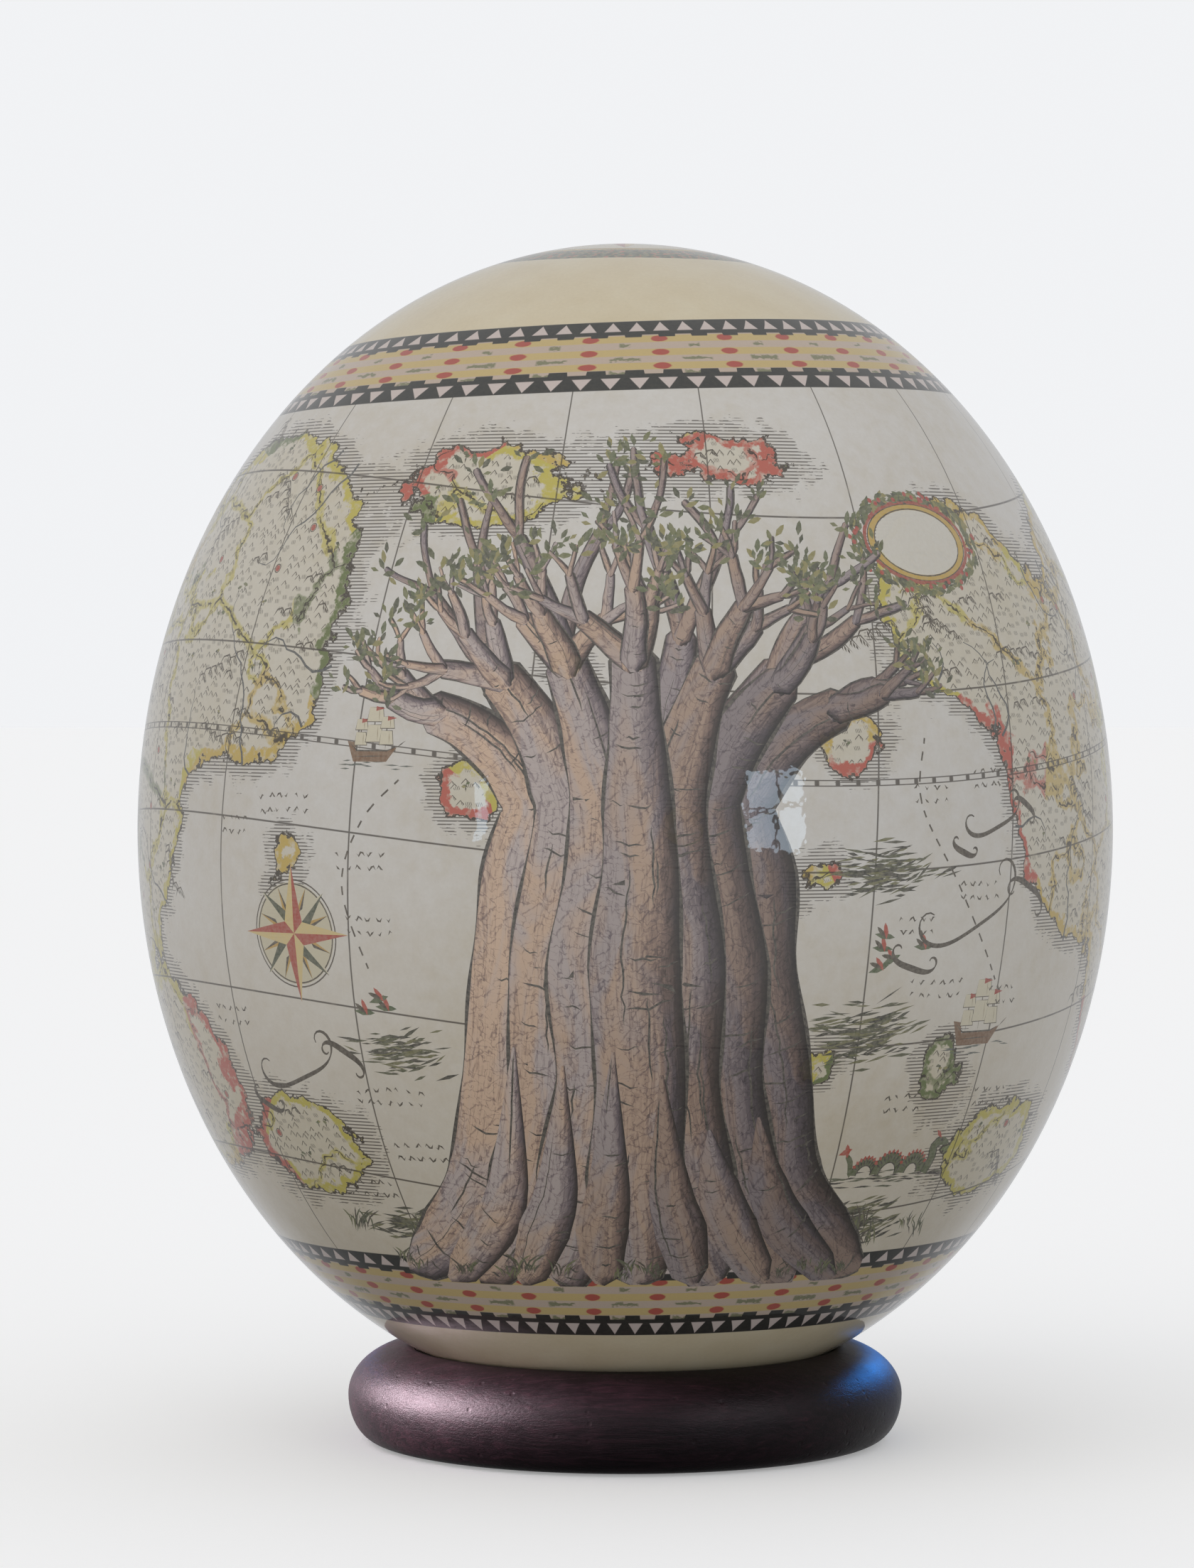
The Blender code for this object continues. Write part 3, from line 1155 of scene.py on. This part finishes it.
class Field:
    """A number that varies over a surface. Arithmetic on it adds Math nodes."""

    def __init__(self, graph, socket):
        self.graph = graph
        self.socket = socket

    def __add__(self, other):
        return self.graph.math("ADD", self, other)

    __radd__ = __add__

    def __sub__(self, other):
        return self.graph.math("SUBTRACT", self, other)

    def __mul__(self, other):
        return self.graph.math("MULTIPLY", self, other)

    def __rsub__(self, other):
        return self.graph.math("SUBTRACT", other, self)

    def abs(self):
        return self.graph.math("ABSOLUTE", self)

    def sin(self):
        return self.graph.math("SINE", self)

    def floor(self):
        return self.graph.math("FLOOR", self)

    def fract(self):
        return self.graph.math("FRACT", self)

    def most(self, other):
        return self.graph.math("MAXIMUM", self, other)

    def above(self, edge, soft):
        """1 where the number is above the edge and 0 below it, over a soft step."""
        if isinstance(edge, Field):
            return (self - edge).above(0.0, soft)
        return self.graph.math("MULTIPLY_ADD", self, 1 / soft, 0.5 - edge / soft, clamp=True)

    def below(self, edge, soft):
        """1 where the number is below the edge."""
        if isinstance(edge, Field):
            return (self - edge).below(0.0, soft)
        return self.graph.math("MULTIPLY_ADD", self, -1 / soft, 0.5 + edge / soft, clamp=True)

    def near(self, centre, half, soft):
        """1 where the number is within half of the centre."""
        return (self - centre).abs().below(half, soft)

    def repeated(self):
        """The number's place in its whole step, from -0.5 to 0.5."""
        return self.fract() - 0.5


class Graph:
    """The nodes of a material or a world, built from short expressions."""

    def __init__(self, owner, shader="Principled BSDF"):
        owner.use_nodes = True
        self.owner = owner
        self.nodes = owner.node_tree.nodes
        self.links = owner.node_tree.links
        self.shader = self.nodes[shader]

    def feed(self, socket, value):
        """Links a varying value to a socket, or sets the socket to a constant."""
        if isinstance(value, Field):
            value = value.socket
        if isinstance(value, bpy.types.NodeSocket):
            self.links.new(value, socket)
        elif isinstance(value, tuple) and socket.type == "RGBA":
            socket.default_value = (*value, 1.0)
        else:
            socket.default_value = value

    def node(self, kind, inputs, **settings):
        """A new node with these settings. Its inputs are given by name or by number."""
        made = self.nodes.new("ShaderNode" + kind)
        for name, value in settings.items():
            setattr(made, name, value)
        for key, value in inputs.items():
            self.feed(made.inputs[key], value)
        return made

    def shade(self, inputs):
        """Feeds the shader's own inputs. Returns the material or the world."""
        for name, value in inputs.items():
            self.feed(self.shader.inputs[name], value)
        return self.owner

    def math(self, operation, *values, clamp=False):
        made = self.node("Math", dict(enumerate(values)), operation=operation, use_clamp=clamp)
        return Field(self, made.outputs[0])

    def vector(self, *values):
        return self.node("CombineXYZ", dict(enumerate(values))).outputs[0]

    def parts(self, vector):
        return [Field(self, output) for output in self.node("SeparateXYZ", {0: vector}).outputs]

    def vector_math(self, operation, inputs):
        return self.node("VectorMath", inputs, operation=operation).outputs[0]

    def place(self):
        """The surface point in millimetres."""
        coordinates = self.node("TexCoord", {}).outputs["Object"]
        return self.vector_math("SCALE", {0: coordinates, "Scale": 1 / MM})

    def attribute(self, name):
        return self.node("Attribute", {}, attribute_name=name).outputs

    def noise(self, vector, scale, detail=3.0, roughness=0.55, distortion=0.0, flat=False):
        inputs = {"Vector": vector, "Scale": scale, "Detail": detail}
        inputs |= {"Roughness": roughness, "Distortion": distortion}
        made = self.node("TexNoise", inputs, noise_dimensions="2D" if flat else "3D")
        return Field(self, made.outputs["Fac"])

    def cells(self, vector, scale, feature="F1", flat=False):
        """The outputs of a pattern of irregular cells."""
        dimensions = "2D" if flat else "3D"
        inputs = {"Vector": vector, "Scale": scale}
        return self.node("TexVoronoi", inputs, voronoi_dimensions=dimensions, feature=feature).outputs

    def cell_distance(self, vector, scale, feature="F1", flat=False):
        return Field(self, self.cells(vector, scale, feature, flat)["Distance"])

    def ramp(self, factor, stops, interpolation="LINEAR"):
        """A colour by a number. Each stop is its place and the 8-bit display values of its colour."""
        made = self.node("ValToRGB", {0: factor})
        made.color_ramp.interpolation = interpolation
        elements = made.color_ramp.elements
        while len(elements) < len(stops):
            elements.new(0.5)
        for element, (place, *colour) in zip(elements, stops):
            element.position = place
            element.color = (*ink(*colour), 1.0)
        return made.outputs[0]

    def mix(self, factor, under, over, blend="MIX"):
        inputs = {0: factor, 6: under, 7: over}
        return self.node("Mix", inputs, data_type="RGBA", blend_type=blend).outputs[2]

    def bump(self, height, strength, distance):
        inputs = {"Height": height, "Strength": strength, "Distance": distance}
        return self.node("Bump", inputs).outputs[0]


# The egg's material

# Shares of a band's height, from its top edge down: two borders of teeth, and the rows of beads between.
UPPER_TEETH = (0.02, 0.15)
BEAD_ROWS = (0.222, 0.745)
LOWER_TEETH = (0.83, 0.985)
FIRST_ROW = 0.2675
ROW_STEP = 0.1975
TOOTH_HALF = 0.34


def band(graph, around, height, levels, tilt, triangles, columns):
    """A bead-work band: its colour, and 1 where it covers the paper."""
    top, bottom = levels
    down = (graph.math("MULTIPLY_ADD", around.sin(), tilt, top) - height) * (1 / (top - bottom))
    cover = down.above(0.0, 0.01) * down.below(1.0, 0.01)
    turn = around * (1 / (2 * math.pi))
    tooth = (turn * triangles).repeated().abs()
    column = (turn * columns).repeated()
    notch = (turn * (2 * columns) + 0.25).repeated().abs().above(0.25, 0.02) - 0.5
    core = (down + notch * 0.035).above(BEAD_ROWS[0], 0.01)
    core = core * (down - notch * 0.055).below(BEAD_ROWS[1], 0.01)
    row = ((down - FIRST_ROW) * (1 / ROW_STEP)).repeated()
    colour = graph.mix(row.abs().above(0.25, 0.05), ink(196, 176, 158), ink(202, 177, 118))
    ragged = graph.noise(graph.vector(turn * (columns * 7.0), down * 16.0), 1.0, 2.0, 0.6, flat=True) - 0.5
    lower = down.above(0.465, 0.01)
    gap = 0.5 - column.abs()
    squiggle = (row + ragged * 0.55).abs().below(0.11, 0.07) * ragged.abs().below(0.2, 0.1)
    leaf = squiggle * gap.near(lower * 0.09, 0.08 + lower * 0.04, 0.03)
    colour = graph.mix(leaf * 0.8, colour, ink(104, 112, 72))
    wide, tall = column * 8.0, (0.5 - row.abs()) * 4.5
    oval = graph.math("SQRT", wide * wide + tall * tall)
    colour = graph.mix((oval + ragged * 0.3).below(1.0, 0.2), colour, ink(176, 78, 64))
    colour = graph.mix(core, ink(44, 44, 40), colour)
    start, end = UPPER_TEETH
    up = ((down - start) * (TOOTH_HALF / (end - start)) - tooth).above(0.0, 0.03) * down.below(end, 0.01)
    start, end = LOWER_TEETH
    fall = ((end - down) * (TOOTH_HALF / (end - start)) - tooth).above(0.0, 0.03) * down.above(start, 0.01)
    return graph.mix(up.most(fall), colour, ink(208, 192, 184)), cover


def land_marks(graph, around, height):
    """Small pen marks close together: peaks with a shaded side, and tufts."""
    chart = graph.vector(around * (EGG_RADIUS * 0.72), height * 0.8)
    cells = graph.cells(chart, 1.0, flat=True)
    x, y, _ = graph.parts(graph.vector_math("SUBTRACT", {0: chart, 1: cells["Position"]}))
    kind = graph.parts(cells["Color"])[0]
    slope = y + x.abs() * 1.15
    peak = slope.near(0.12, 0.055, 0.05) * x.abs().below(0.4, 0.05)
    hatching = (x * 9.0).repeated().abs().above(0.3, 0.15)
    shade = hatching * slope.near(0.0, 0.13, 0.08) * x.near(0.2, 0.17, 0.05)
    blades = ((x + y * 0.3) * 6.0).repeated().abs().below(0.16, 0.1)
    tuft = blades * y.abs().below(0.2, 0.1) * x.abs().below(0.3, 0.05)
    return peak.most(shade) * kind.above(0.4, 0.02) + tuft * kind.below(0.4, 0.02)


# The chart's lines: how many meridians there are, and the other lines' places and spacings in millimetres.
MERIDIANS = 18
PARALLEL_SPACING = 21.5
SCALE_LINE_LEVEL = 86.0
SCALE_TICKS = 144
SEA_LINE_SPACING = 0.42

# Countries to a millimetre.
BORDER_SCALE = 0.055


def map_paper(graph, place, around, height, land):
    """The printed map: paper, coasts, borders and the lines of the chart."""
    broad = graph.noise(place, 0.035, 2.0)
    fine = graph.noise(place, 0.5, 4.0)
    colour = graph.ramp(
        broad * 0.6 + fine * 0.4,
        ((0.3, 205, 196, 180), (0.5, 214, 208, 199), (0.7, 220, 216, 210)),
    )
    low_down = graph.math("MULTIPLY", 80.0 - height, 1 / 60, clamp=True)
    colour = graph.mix(low_down, colour, ink(255, 247, 229), "MULTIPLY")
    crinkle = graph.noise(place, 0.22, 5.0, 0.62)
    shore = land + (crinkle - 0.5) * 7.0
    on_land = shore.above(0.0, 0.05)
    colour = graph.mix(on_land * 0.4, colour, ink(205, 192, 158))

    hue = graph.parts(graph.cells(place, 0.05)["Color"])[0]
    wash = graph.ramp(
        hue,
        ((0.0, 196, 182, 88), (0.42, 190, 100, 84), (0.6, 112, 122, 76), (0.8, 200, 172, 92)),
        "CONSTANT",
    )
    fade = graph.noise(place, 0.9, 3.0).above(0.36, 0.25)
    coast_wash = shore.near(0.6, 0.5, 0.3) * fade
    warp = graph.noise(place, 0.12, 3.0)
    shift = graph.vector(warp * 14.0, crinkle * 9.0, warp * -9.0)
    moved = graph.vector_math("ADD", {0: place, 1: shift})
    border = graph.cell_distance(moved, BORDER_SCALE, "DISTANCE_TO_EDGE") * (1 / BORDER_SCALE)
    border_wash = border.below(0.62, 0.3) * on_land * fade
    colour = graph.mix(coast_wash.most(border_wash * 0.8), colour, wash)
    line = border.below(0.13, 0.08) * on_land * fine.above(0.47, 0.06)
    line = line.most(shore.near(0.0, 0.15, 0.08))

    rows = height * (1 / SEA_LINE_SPACING)
    ripple = rows.repeated().abs().above(0.31, 0.14)
    reach = graph.noise(graph.vector(around * 30.0, rows.floor() * 3.7), 1.0, 2.0, flat=True)
    line = line.most(ripple * shore.above(reach * -3.4, 0.3) * (1 - on_land) * 0.85)
    line = line.most(land_marks(graph, around, height) * shore.above(1.2, 0.6))

    bow = (height * 0.031).sin() * 0.11
    spacing = 2 * math.pi * EGG_RADIUS / MERIDIANS
    meridian = (around * (MERIDIANS / (2 * math.pi)) + bow).repeated().abs() * spacing
    level = height + (around * 2 + 0.7).sin() * 3.4
    parallel = (level * (1 / PARALLEL_SPACING)).repeated().abs() * PARALLEL_SPACING
    line = line.most(meridian.below(0.11, 0.09) * 0.9).most(parallel.below(0.11, 0.09) * 0.9)
    scale_line = (level - SCALE_LINE_LEVEL).abs()
    tick = (around * (SCALE_TICKS / (2 * math.pi))).repeated().abs().below(0.11, 0.05)
    bars = scale_line.near(0.34, 0.07, 0.06).most(scale_line.below(0.34, 0.06) * tick)
    line = line.most(bars * 0.9)
    worn = fine.above(0.34, 0.2)
    return graph.mix(line * (worn * 0.3 + 0.65), colour, SEPIA)


def bark_colour(graph, tone):
    """Wrinkled bark that follows its limb: lit from the left, and dark in its folds and at its edges."""
    along, beside, edge = graph.parts(graph.attribute("limb")["Vector"])
    wrapped = along + edge * edge * -1.5
    warp = graph.noise(graph.vector(wrapped * 0.35, beside * 0.35), 1.0, 3.0, 0.6, flat=True)
    bent = wrapped + warp * 4.0
    scales = graph.vector(bent * 0.95, beside * 0.40 + warp * 1.2)
    plates = graph.cell_distance(scales, 1.0, "DISTANCE_TO_EDGE", flat=True)
    long_folds = graph.noise(graph.vector(along * 0.07, beside * 0.75), 1.0, 3.0, 0.5, 0.5, flat=True)
    dabs = graph.noise(graph.vector(bent * 1.1, beside * 2.4), 1.0, 4.0, 0.7, flat=True)
    patches = graph.noise(graph.vector(along * 0.05, beside * 0.16), 1.0, 3.0, 0.6, 0.8, flat=True)
    wrinkles = plates.above(0.04, 0.08) * 0.42 + 0.58
    seams = (long_folds - 0.5).abs().above(0.012, 0.05) * 0.45 + 0.55
    side = edge + 0.36
    light = (1.04 - side * side * 0.56) * (edge.abs().below(0.92, 0.2) * 0.55 + 0.45)
    light = light * wrinkles * seams * (long_folds * 0.8 + 0.62) * (dabs * 1.3 + 0.4)
    shade = graph.ramp(
        light,
        (
            (0.0, 36, 32, 34),
            (0.22, 84, 75, 79),
            (0.5, 146, 134, 136),
            (0.75, 192, 179, 172),
            (1.0, 224, 213, 202),
        ),
    )
    warm = graph.mix(patches.above(0.5, 0.2), ink(226, 222, 228), ink(246, 224, 205))
    toned = graph.mix(1.0, shade, warm, "MULTIPLY")
    return graph.mix(1.0, toned, tone, "MULTIPLY")


def crown_patch(graph, around, away, colour):
    """The round printed patch on the crown, laid over a colour: a garland ring and a pointed star."""
    turn = around * (1 / (2 * math.pi))
    cover = away.below(PATCH_RADIUS, 0.05)
    paper = graph.mix(cover, colour, ink(216, 206, 182))
    tooth = (turn * 60).repeated().abs()
    leaves = graph.noise(graph.vector(turn * 120.0, away * 1.3), 1.0, 2.0, flat=True)
    garland = graph.ramp(
        leaves,
        ((0.0, 40, 46, 34), (0.46, 70, 82, 52), (0.54, 104, 110, 66), (0.62, 170, 70, 56)),
        "CONSTANT",
    )
    paper = graph.mix(away.near(15.9, 2.5, 0.05) * (tooth * 0.2 + 0.8), paper, garland)
    paper = graph.mix(away.near(13.0, 0.35, 0.06), paper, ink(200, 168, 92))
    paper = graph.mix(away.near(12.5, 0.14, 0.06), paper, SEPIA)
    for count, shift, inner, outer, dark, pale in (
        (16, 0.5, 3.4, 8.8, ink(92, 100, 66), ink(206, 196, 160)),
        (8, 0.5, 2.8, 11.6, ink(166, 66, 52), ink(210, 180, 118)),
    ):
        ray = (turn * count + shift).repeated()
        edge = outer - ray.abs() * (2 * (outer - inner))
        tone = graph.mix(ray.above(0.0, 0.02), dark, pale)
        star = graph.mix(away.below(edge, 0.05), paper, tone)
        paper = graph.mix((away - edge).near(0.0, 0.1, 0.06), star, SEPIA)
    return graph.mix(cover, colour, paper)


def egg_material():
    """Printed paper over a bare shell, all under a clear gloss lacquer."""
    graph = Graph(bpy.data.materials.new("lacquered_shell"))
    place = graph.place()
    around, height, length = graph.parts(graph.attribute("around")["Vector"])
    land = Field(graph, graph.attribute("land")["Fac"])
    colour = map_paper(graph, place, around, height, land)

    printed = graph.attribute("ink")
    cover = Field(graph, printed["Alpha"])
    bark = Field(graph, graph.attribute("bark")["Fac"])
    print_grain = graph.noise(place, 2.2, 2.0, 0.6)
    flat_ink = graph.mix(print_grain.above(0.5, 0.5) * 0.22, printed["Color"], ink(214, 204, 184))
    painted = graph.mix(bark, flat_ink, bark_colour(graph, printed["Color"]))
    colour = graph.mix(cover * 0.96, colour, painted)

    mottle = graph.noise(place, 0.16, 3.0)
    shell = graph.ramp(mottle, ((0.25, 214, 198, 164), (0.5, 218, 203, 171), (0.75, 221, 208, 178)))
    top_tilt, low_tilt = (around.sin() * tilt for tilt in (TOP_BAND_TILT, LOW_BAND_TILT))
    above_bands = (height - top_tilt).above(TOP_BAND[0], 0.04)
    below_bands = (height - low_tilt).below(LOW_BAND[1], 0.04)
    colour = graph.mix(above_bands.most(below_bands), colour, shell)
    colour = crown_patch(graph, around, FULL_LENGTH - length, colour)

    low_colour, low_cover = band(graph, around, height, LOW_BAND, LOW_BAND_TILT, 92, 33)
    top_colour, top_cover = band(graph, around, height, TOP_BAND, TOP_BAND_TILT, 76, 28)
    in_front = cover * height.above(ROOTS_END, 0.01)
    colour = graph.mix(low_cover * (1 - in_front), colour, low_colour)
    colour = graph.mix(top_cover, colour, top_colour)
    colour = graph.mix(print_grain.above(0.5, 0.6) * 0.10, colour, ink(150, 140, 120))
    ripple = graph.noise(place, 0.1, 1.0) * 0.75 + graph.noise(place, 0.8, 1.0) * 0.06
    return graph.shade({
        "Base Color": colour,
        "Roughness": print_grain * 0.2 + 0.42,
        "Specular IOR Level": 0.3,
        "Normal": graph.bump(print_grain, 0.15, 0.0001),
        "Coat Weight": 1.0,
        "Coat IOR": 1.5,
        "Coat Roughness": 0.025,
        "Coat Normal": graph.bump(ripple, 0.4, 0.0006),
    })


def added(name, data):
    """A new object in the scene."""
    made = bpy.data.objects.new(name, data)
    bpy.context.scene.collection.objects.link(made)
    return made


def make_egg():
    mesh = egg_mesh(lands_and_islands())
    weld(mesh, 4e-6)
    keep_true_normals(mesh)
    mesh.materials.append(egg_material())
    egg = added("decorated_egg", mesh)
    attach(egg, "root")
    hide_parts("egg")


# The ring

RING_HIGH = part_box("ring_stand")[1]
RING_RADIUS = RING_HIGH.x / MM
RING_TOP = RING_HIGH.z / MM
RING_WIDEST_LEVEL = 5.9
RING_CREST_RADIUS = 28.3
RING_HOLE_RADIUS = 21.0
RING_FOOT_RADIUS = 32.6
RING_FILLET = 2.0
SEAT_GAP = 0.3
SEAT_RADIUS = 27.2
RING_SEGMENTS = 240


def arc(centre, wide, high, start, end, steps):
    """Points of an ellipse's arc between two angles in degrees, both ends included."""
    turns = [math.radians(start + (end - start) * k / steps) for k in range(steps + 1)]
    return [(centre[0] + wide * math.cos(t), centre[1] + high * math.sin(t)) for t in turns]


def seat(steps):
    """The dished seat, a constant gap outside the egg, from its rim down to the hole."""
    low_half = TURNS < math.pi / 2
    rim, foot = np.interp((SEAT_RADIUS, RING_HOLE_RADIUS), RADII[low_half], TURNS[low_half])
    points = []
    for turn in np.linspace(rim, foot, steps + 1):
        length = np.interp(turn, TURNS, LENGTHS)
        radius, height = outline(turn)
        out, rise = np.interp(length, LENGTHS, OUTWARD), np.interp(length, LENGTHS, UPWARD)
        points.append((radius + SEAT_GAP * out, height + EGG_GAP + SEAT_GAP * rise))
    return points


def ring_section():
    """The ring's closed section: foot, outer side, crest, seat, hole and back along the foot."""
    wide, rise = RING_RADIUS - RING_FOOT_RADIUS, RING_TOP - RING_WIDEST_LEVEL
    lower = arc((RING_FOOT_RADIUS, RING_WIDEST_LEVEL), wide, RING_WIDEST_LEVEL, -90, 0, 14)
    upper = arc((RING_CREST_RADIUS, RING_WIDEST_LEVEL), RING_RADIUS - RING_CREST_RADIUS, rise, 0, 90, 20)
    inner = RING_HOLE_RADIUS + RING_FILLET
    fillet = arc((inner, RING_FILLET), RING_FILLET, RING_FILLET, 180, 270, 8)
    foot = [(inner + (RING_FOOT_RADIUS - inner) * k / 4, 0.0) for k in range(1, 4)]
    return lower + upper[1:] + seat(8) + fillet + foot


def ring_material():
    """Dark stained wood, turned and lightly polished."""
    graph = Graph(bpy.data.materials.new("dark_wood"))
    place = graph.place()
    x, y, z = graph.parts(place)
    grain = graph.noise(graph.vector(x * 0.09, y * 0.7, z * 1.3), 1.0, 5.0, 0.65, 1.6)
    fibre = graph.noise(graph.vector(x * 0.5, y * 5.0, z * 7.0), 1.0, 4.0, 0.6)
    smudge = graph.noise(place, 0.11, 4.0, 0.6, 0.8)
    colour = graph.ramp(
        grain * 0.55 + fibre * 0.2 + smudge * 0.25,
        ((0.3, 5, 2, 3), (0.47, 10, 5, 7), (0.6, 22, 11, 15), (0.75, 50, 29, 33)),
    )
    dents = graph.cell_distance(place, 0.42).below(0.1, 0.12)
    relief = grain * 0.4 + fibre * 0.3 - dents * 0.35 + smudge * 0.3
    return graph.shade({
        "Base Color": graph.mix(dents * 0.5, colour, ink(18, 10, 12)),
        "Roughness": smudge * 0.3 + fibre * 0.12 + 0.24,
        "Specular IOR Level": 0.12,
        "Normal": graph.bump(relief, 0.35, 0.0005),
    })


def turned(section, segments):
    """Corners and faces of a closed section turned once round the Z axis, in a fixed order."""
    points, faces = [], []
    for step in range(segments):
        turn = 2 * math.pi * step / segments
        points += [(r * MM * math.cos(turn), r * MM * math.sin(turn), z * MM) for r, z in section]
        here, ahead = step * len(section), (step + 1) % segments * len(section)
        for a, b in round_pairs(list(range(len(section)))):
            faces.append((here + a, ahead + a, ahead + b, here + b))
    return points, faces


def make_ring():
    points, faces = turned(ring_section(), RING_SEGMENTS)
    mesh = bpy.data.meshes.new("ring")
    mesh.from_pydata(points, [], faces)
    mesh.shade_smooth()
    mesh.materials.append(ring_material())
    ring = added("turned_ring", mesh)
    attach(ring, "root")
    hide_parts("ring_stand")
    return ring


# Floor, light and camera

FLOOR_RADIUS = 9.0
FLOOR_DROP = 0.0002

# The strength of the world's light from below and from above, and as the camera sees it.
DIM_SKY = 0.12
SOFT_SKY = 0.63
SEEN_SKY = 0.91

# What the light panels face, and how far from it they stand, in metres.
EGG_MIDDLE = Vector((0.0, 0.0, 0.085))
RING_PANEL_DISTANCE = 1.2
WINDOW_DISTANCE = 1.6

# The window that shows in the lacquer: its middle's azimuth and elevation, and its four panes.
WINDOW_MIDDLE = (34, 3.4)
PANE_OFFSET = (3.3, 2.8)
PANE_SIZE = (0.155, 0.135)


def make_floor():
    """A pale floor that shows the shadow, but neither lights the object nor is mirrored in it."""
    graph = Graph(bpy.data.materials.new("studio_floor"))
    graph.shade({
        "Base Color": (0.86, 0.86, 0.86),
        "Roughness": 0.8,
        "Specular IOR Level": 0.1,
        "Emission Color": (1.0, 1.0, 1.0),
        "Emission Strength": 0.28,
    })
    shape = bmesh.new()
    bmesh.ops.create_circle(shape, cap_ends=True, segments=96, radius=FLOOR_RADIUS)
    mesh = bpy.data.meshes.new("studio_floor")
    shape.to_mesh(mesh)
    shape.free()
    mesh.materials.append(graph.owner)
    floor = added("studio_floor", mesh)
    floor.location.z = -FLOOR_DROP
    floor.visible_diffuse = False
    floor.visible_glossy = False


def make_world():
    """Nearly white where the camera sees it. As light it is soft from above and dim from below."""
    graph = Graph(bpy.data.worlds.new("studio"), "Background")
    bpy.context.scene.world = graph.owner
    rise = graph.parts(graph.node("TexCoord", {}).outputs["Generated"])[2]
    levels = {"Value": rise, "From Min": -0.75, "From Max": -0.25, "To Min": DIM_SKY, "To Max": SOFT_SKY}
    sky = graph.node("MapRange", levels, interpolation_type="SMOOTHSTEP").outputs[0]
    seen = graph.node("LightPath", {}).outputs["Is Camera Ray"]
    strength = graph.node("Mix", {0: seen, 2: sky, 3: SEEN_SKY}).outputs[0]
    graph.shade({"Color": (0.97, 0.98, 1.0), "Strength": strength})


def panel(name, azimuth, elevation, distance, size, power, colour, only=None):
    """A rectangular light that faces the egg. Azimuth runs in degrees from the front towards the right."""
    data = bpy.data.lights.new(name, "AREA")
    data.shape = "RECTANGLE"
    data.size, data.size_y = size
    data.energy = power
    data.color = colour
    light = added(name, data)
    turn, rise = math.radians(azimuth), math.radians(elevation)
    away = Vector((math.sin(turn) * math.cos(rise), -math.cos(turn) * math.cos(rise), math.sin(rise)))
    light.location = EGG_MIDDLE + away * distance
    light.rotation_euler = away.to_track_quat("Z", "Y").to_euler()
    if only:
        lit = bpy.data.collections.new(name)
        lit.objects.link(only)
        light.light_linking.receiver_collection = lit


def make_lights(ring):
    """An even, soft light, small panels that light only the ring, and windows seen in the lacquer."""
    make_world()
    data = bpy.data.lights.new("soft_key", "SUN")
    data.energy = 0.5
    data.angle = math.radians(70)
    data.color = (1.0, 0.98, 0.95)
    key = added("soft_key", data)
    key.rotation_euler = (math.radians(90 - 38), 0.0, math.radians(-30))
    key.visible_glossy = False
    for name, azimuth, elevation, size, watts, colour in (
        ("ring_left", -92, 20, (0.9, 0.4), 190.0, (1.0, 0.77, 0.88)),
        ("ring_right", 48, 26, (0.3, 0.2), 7.0, (1.0, 0.84, 0.92)),
        ("ring_right_blue", 145, 30, (0.25, 0.3), 28.0, (0.01, 0.28, 1.0)),
        ("ring_left_blue", -150, 36, (0.4, 0.3), 9.0, (0.04, 0.3, 1.0)),
    ):
        panel(name, azimuth, elevation, RING_PANEL_DISTANCE, size, watts, colour, only=ring)
    for across in (-1, 1):
        for up in (-1, 1):
            azimuth = WINDOW_MIDDLE[0] + across * PANE_OFFSET[0]
            elevation = WINDOW_MIDDLE[1] + up * PANE_OFFSET[1]
            panel("window", azimuth, elevation, WINDOW_DISTANCE, PANE_SIZE, 0.34, (0.68, 0.84, 1.0))
    panel("window_slit", -32, 3.5, WINDOW_DISTANCE, (0.075, 0.24), 0.26, (0.6, 0.8, 1.0))


def make_camera():
    """The photograph's view: a long lens a little above the egg's middle, looking slightly down."""
    data = bpy.data.cameras.new("camera")
    data.sensor_width = 36.0
    data.lens = 118.7
    camera = added("camera", data)
    camera.location = (0.0, -0.6814, 0.1008)
    camera.rotation_euler = (math.radians(90 - 1.23), 0.0, math.radians(0.31))
    bpy.context.scene.camera = camera


make_camera()
make_floor()
make_lights(make_ring())
make_egg()
bpy.context.scene.view_settings.view_transform = "Standard"
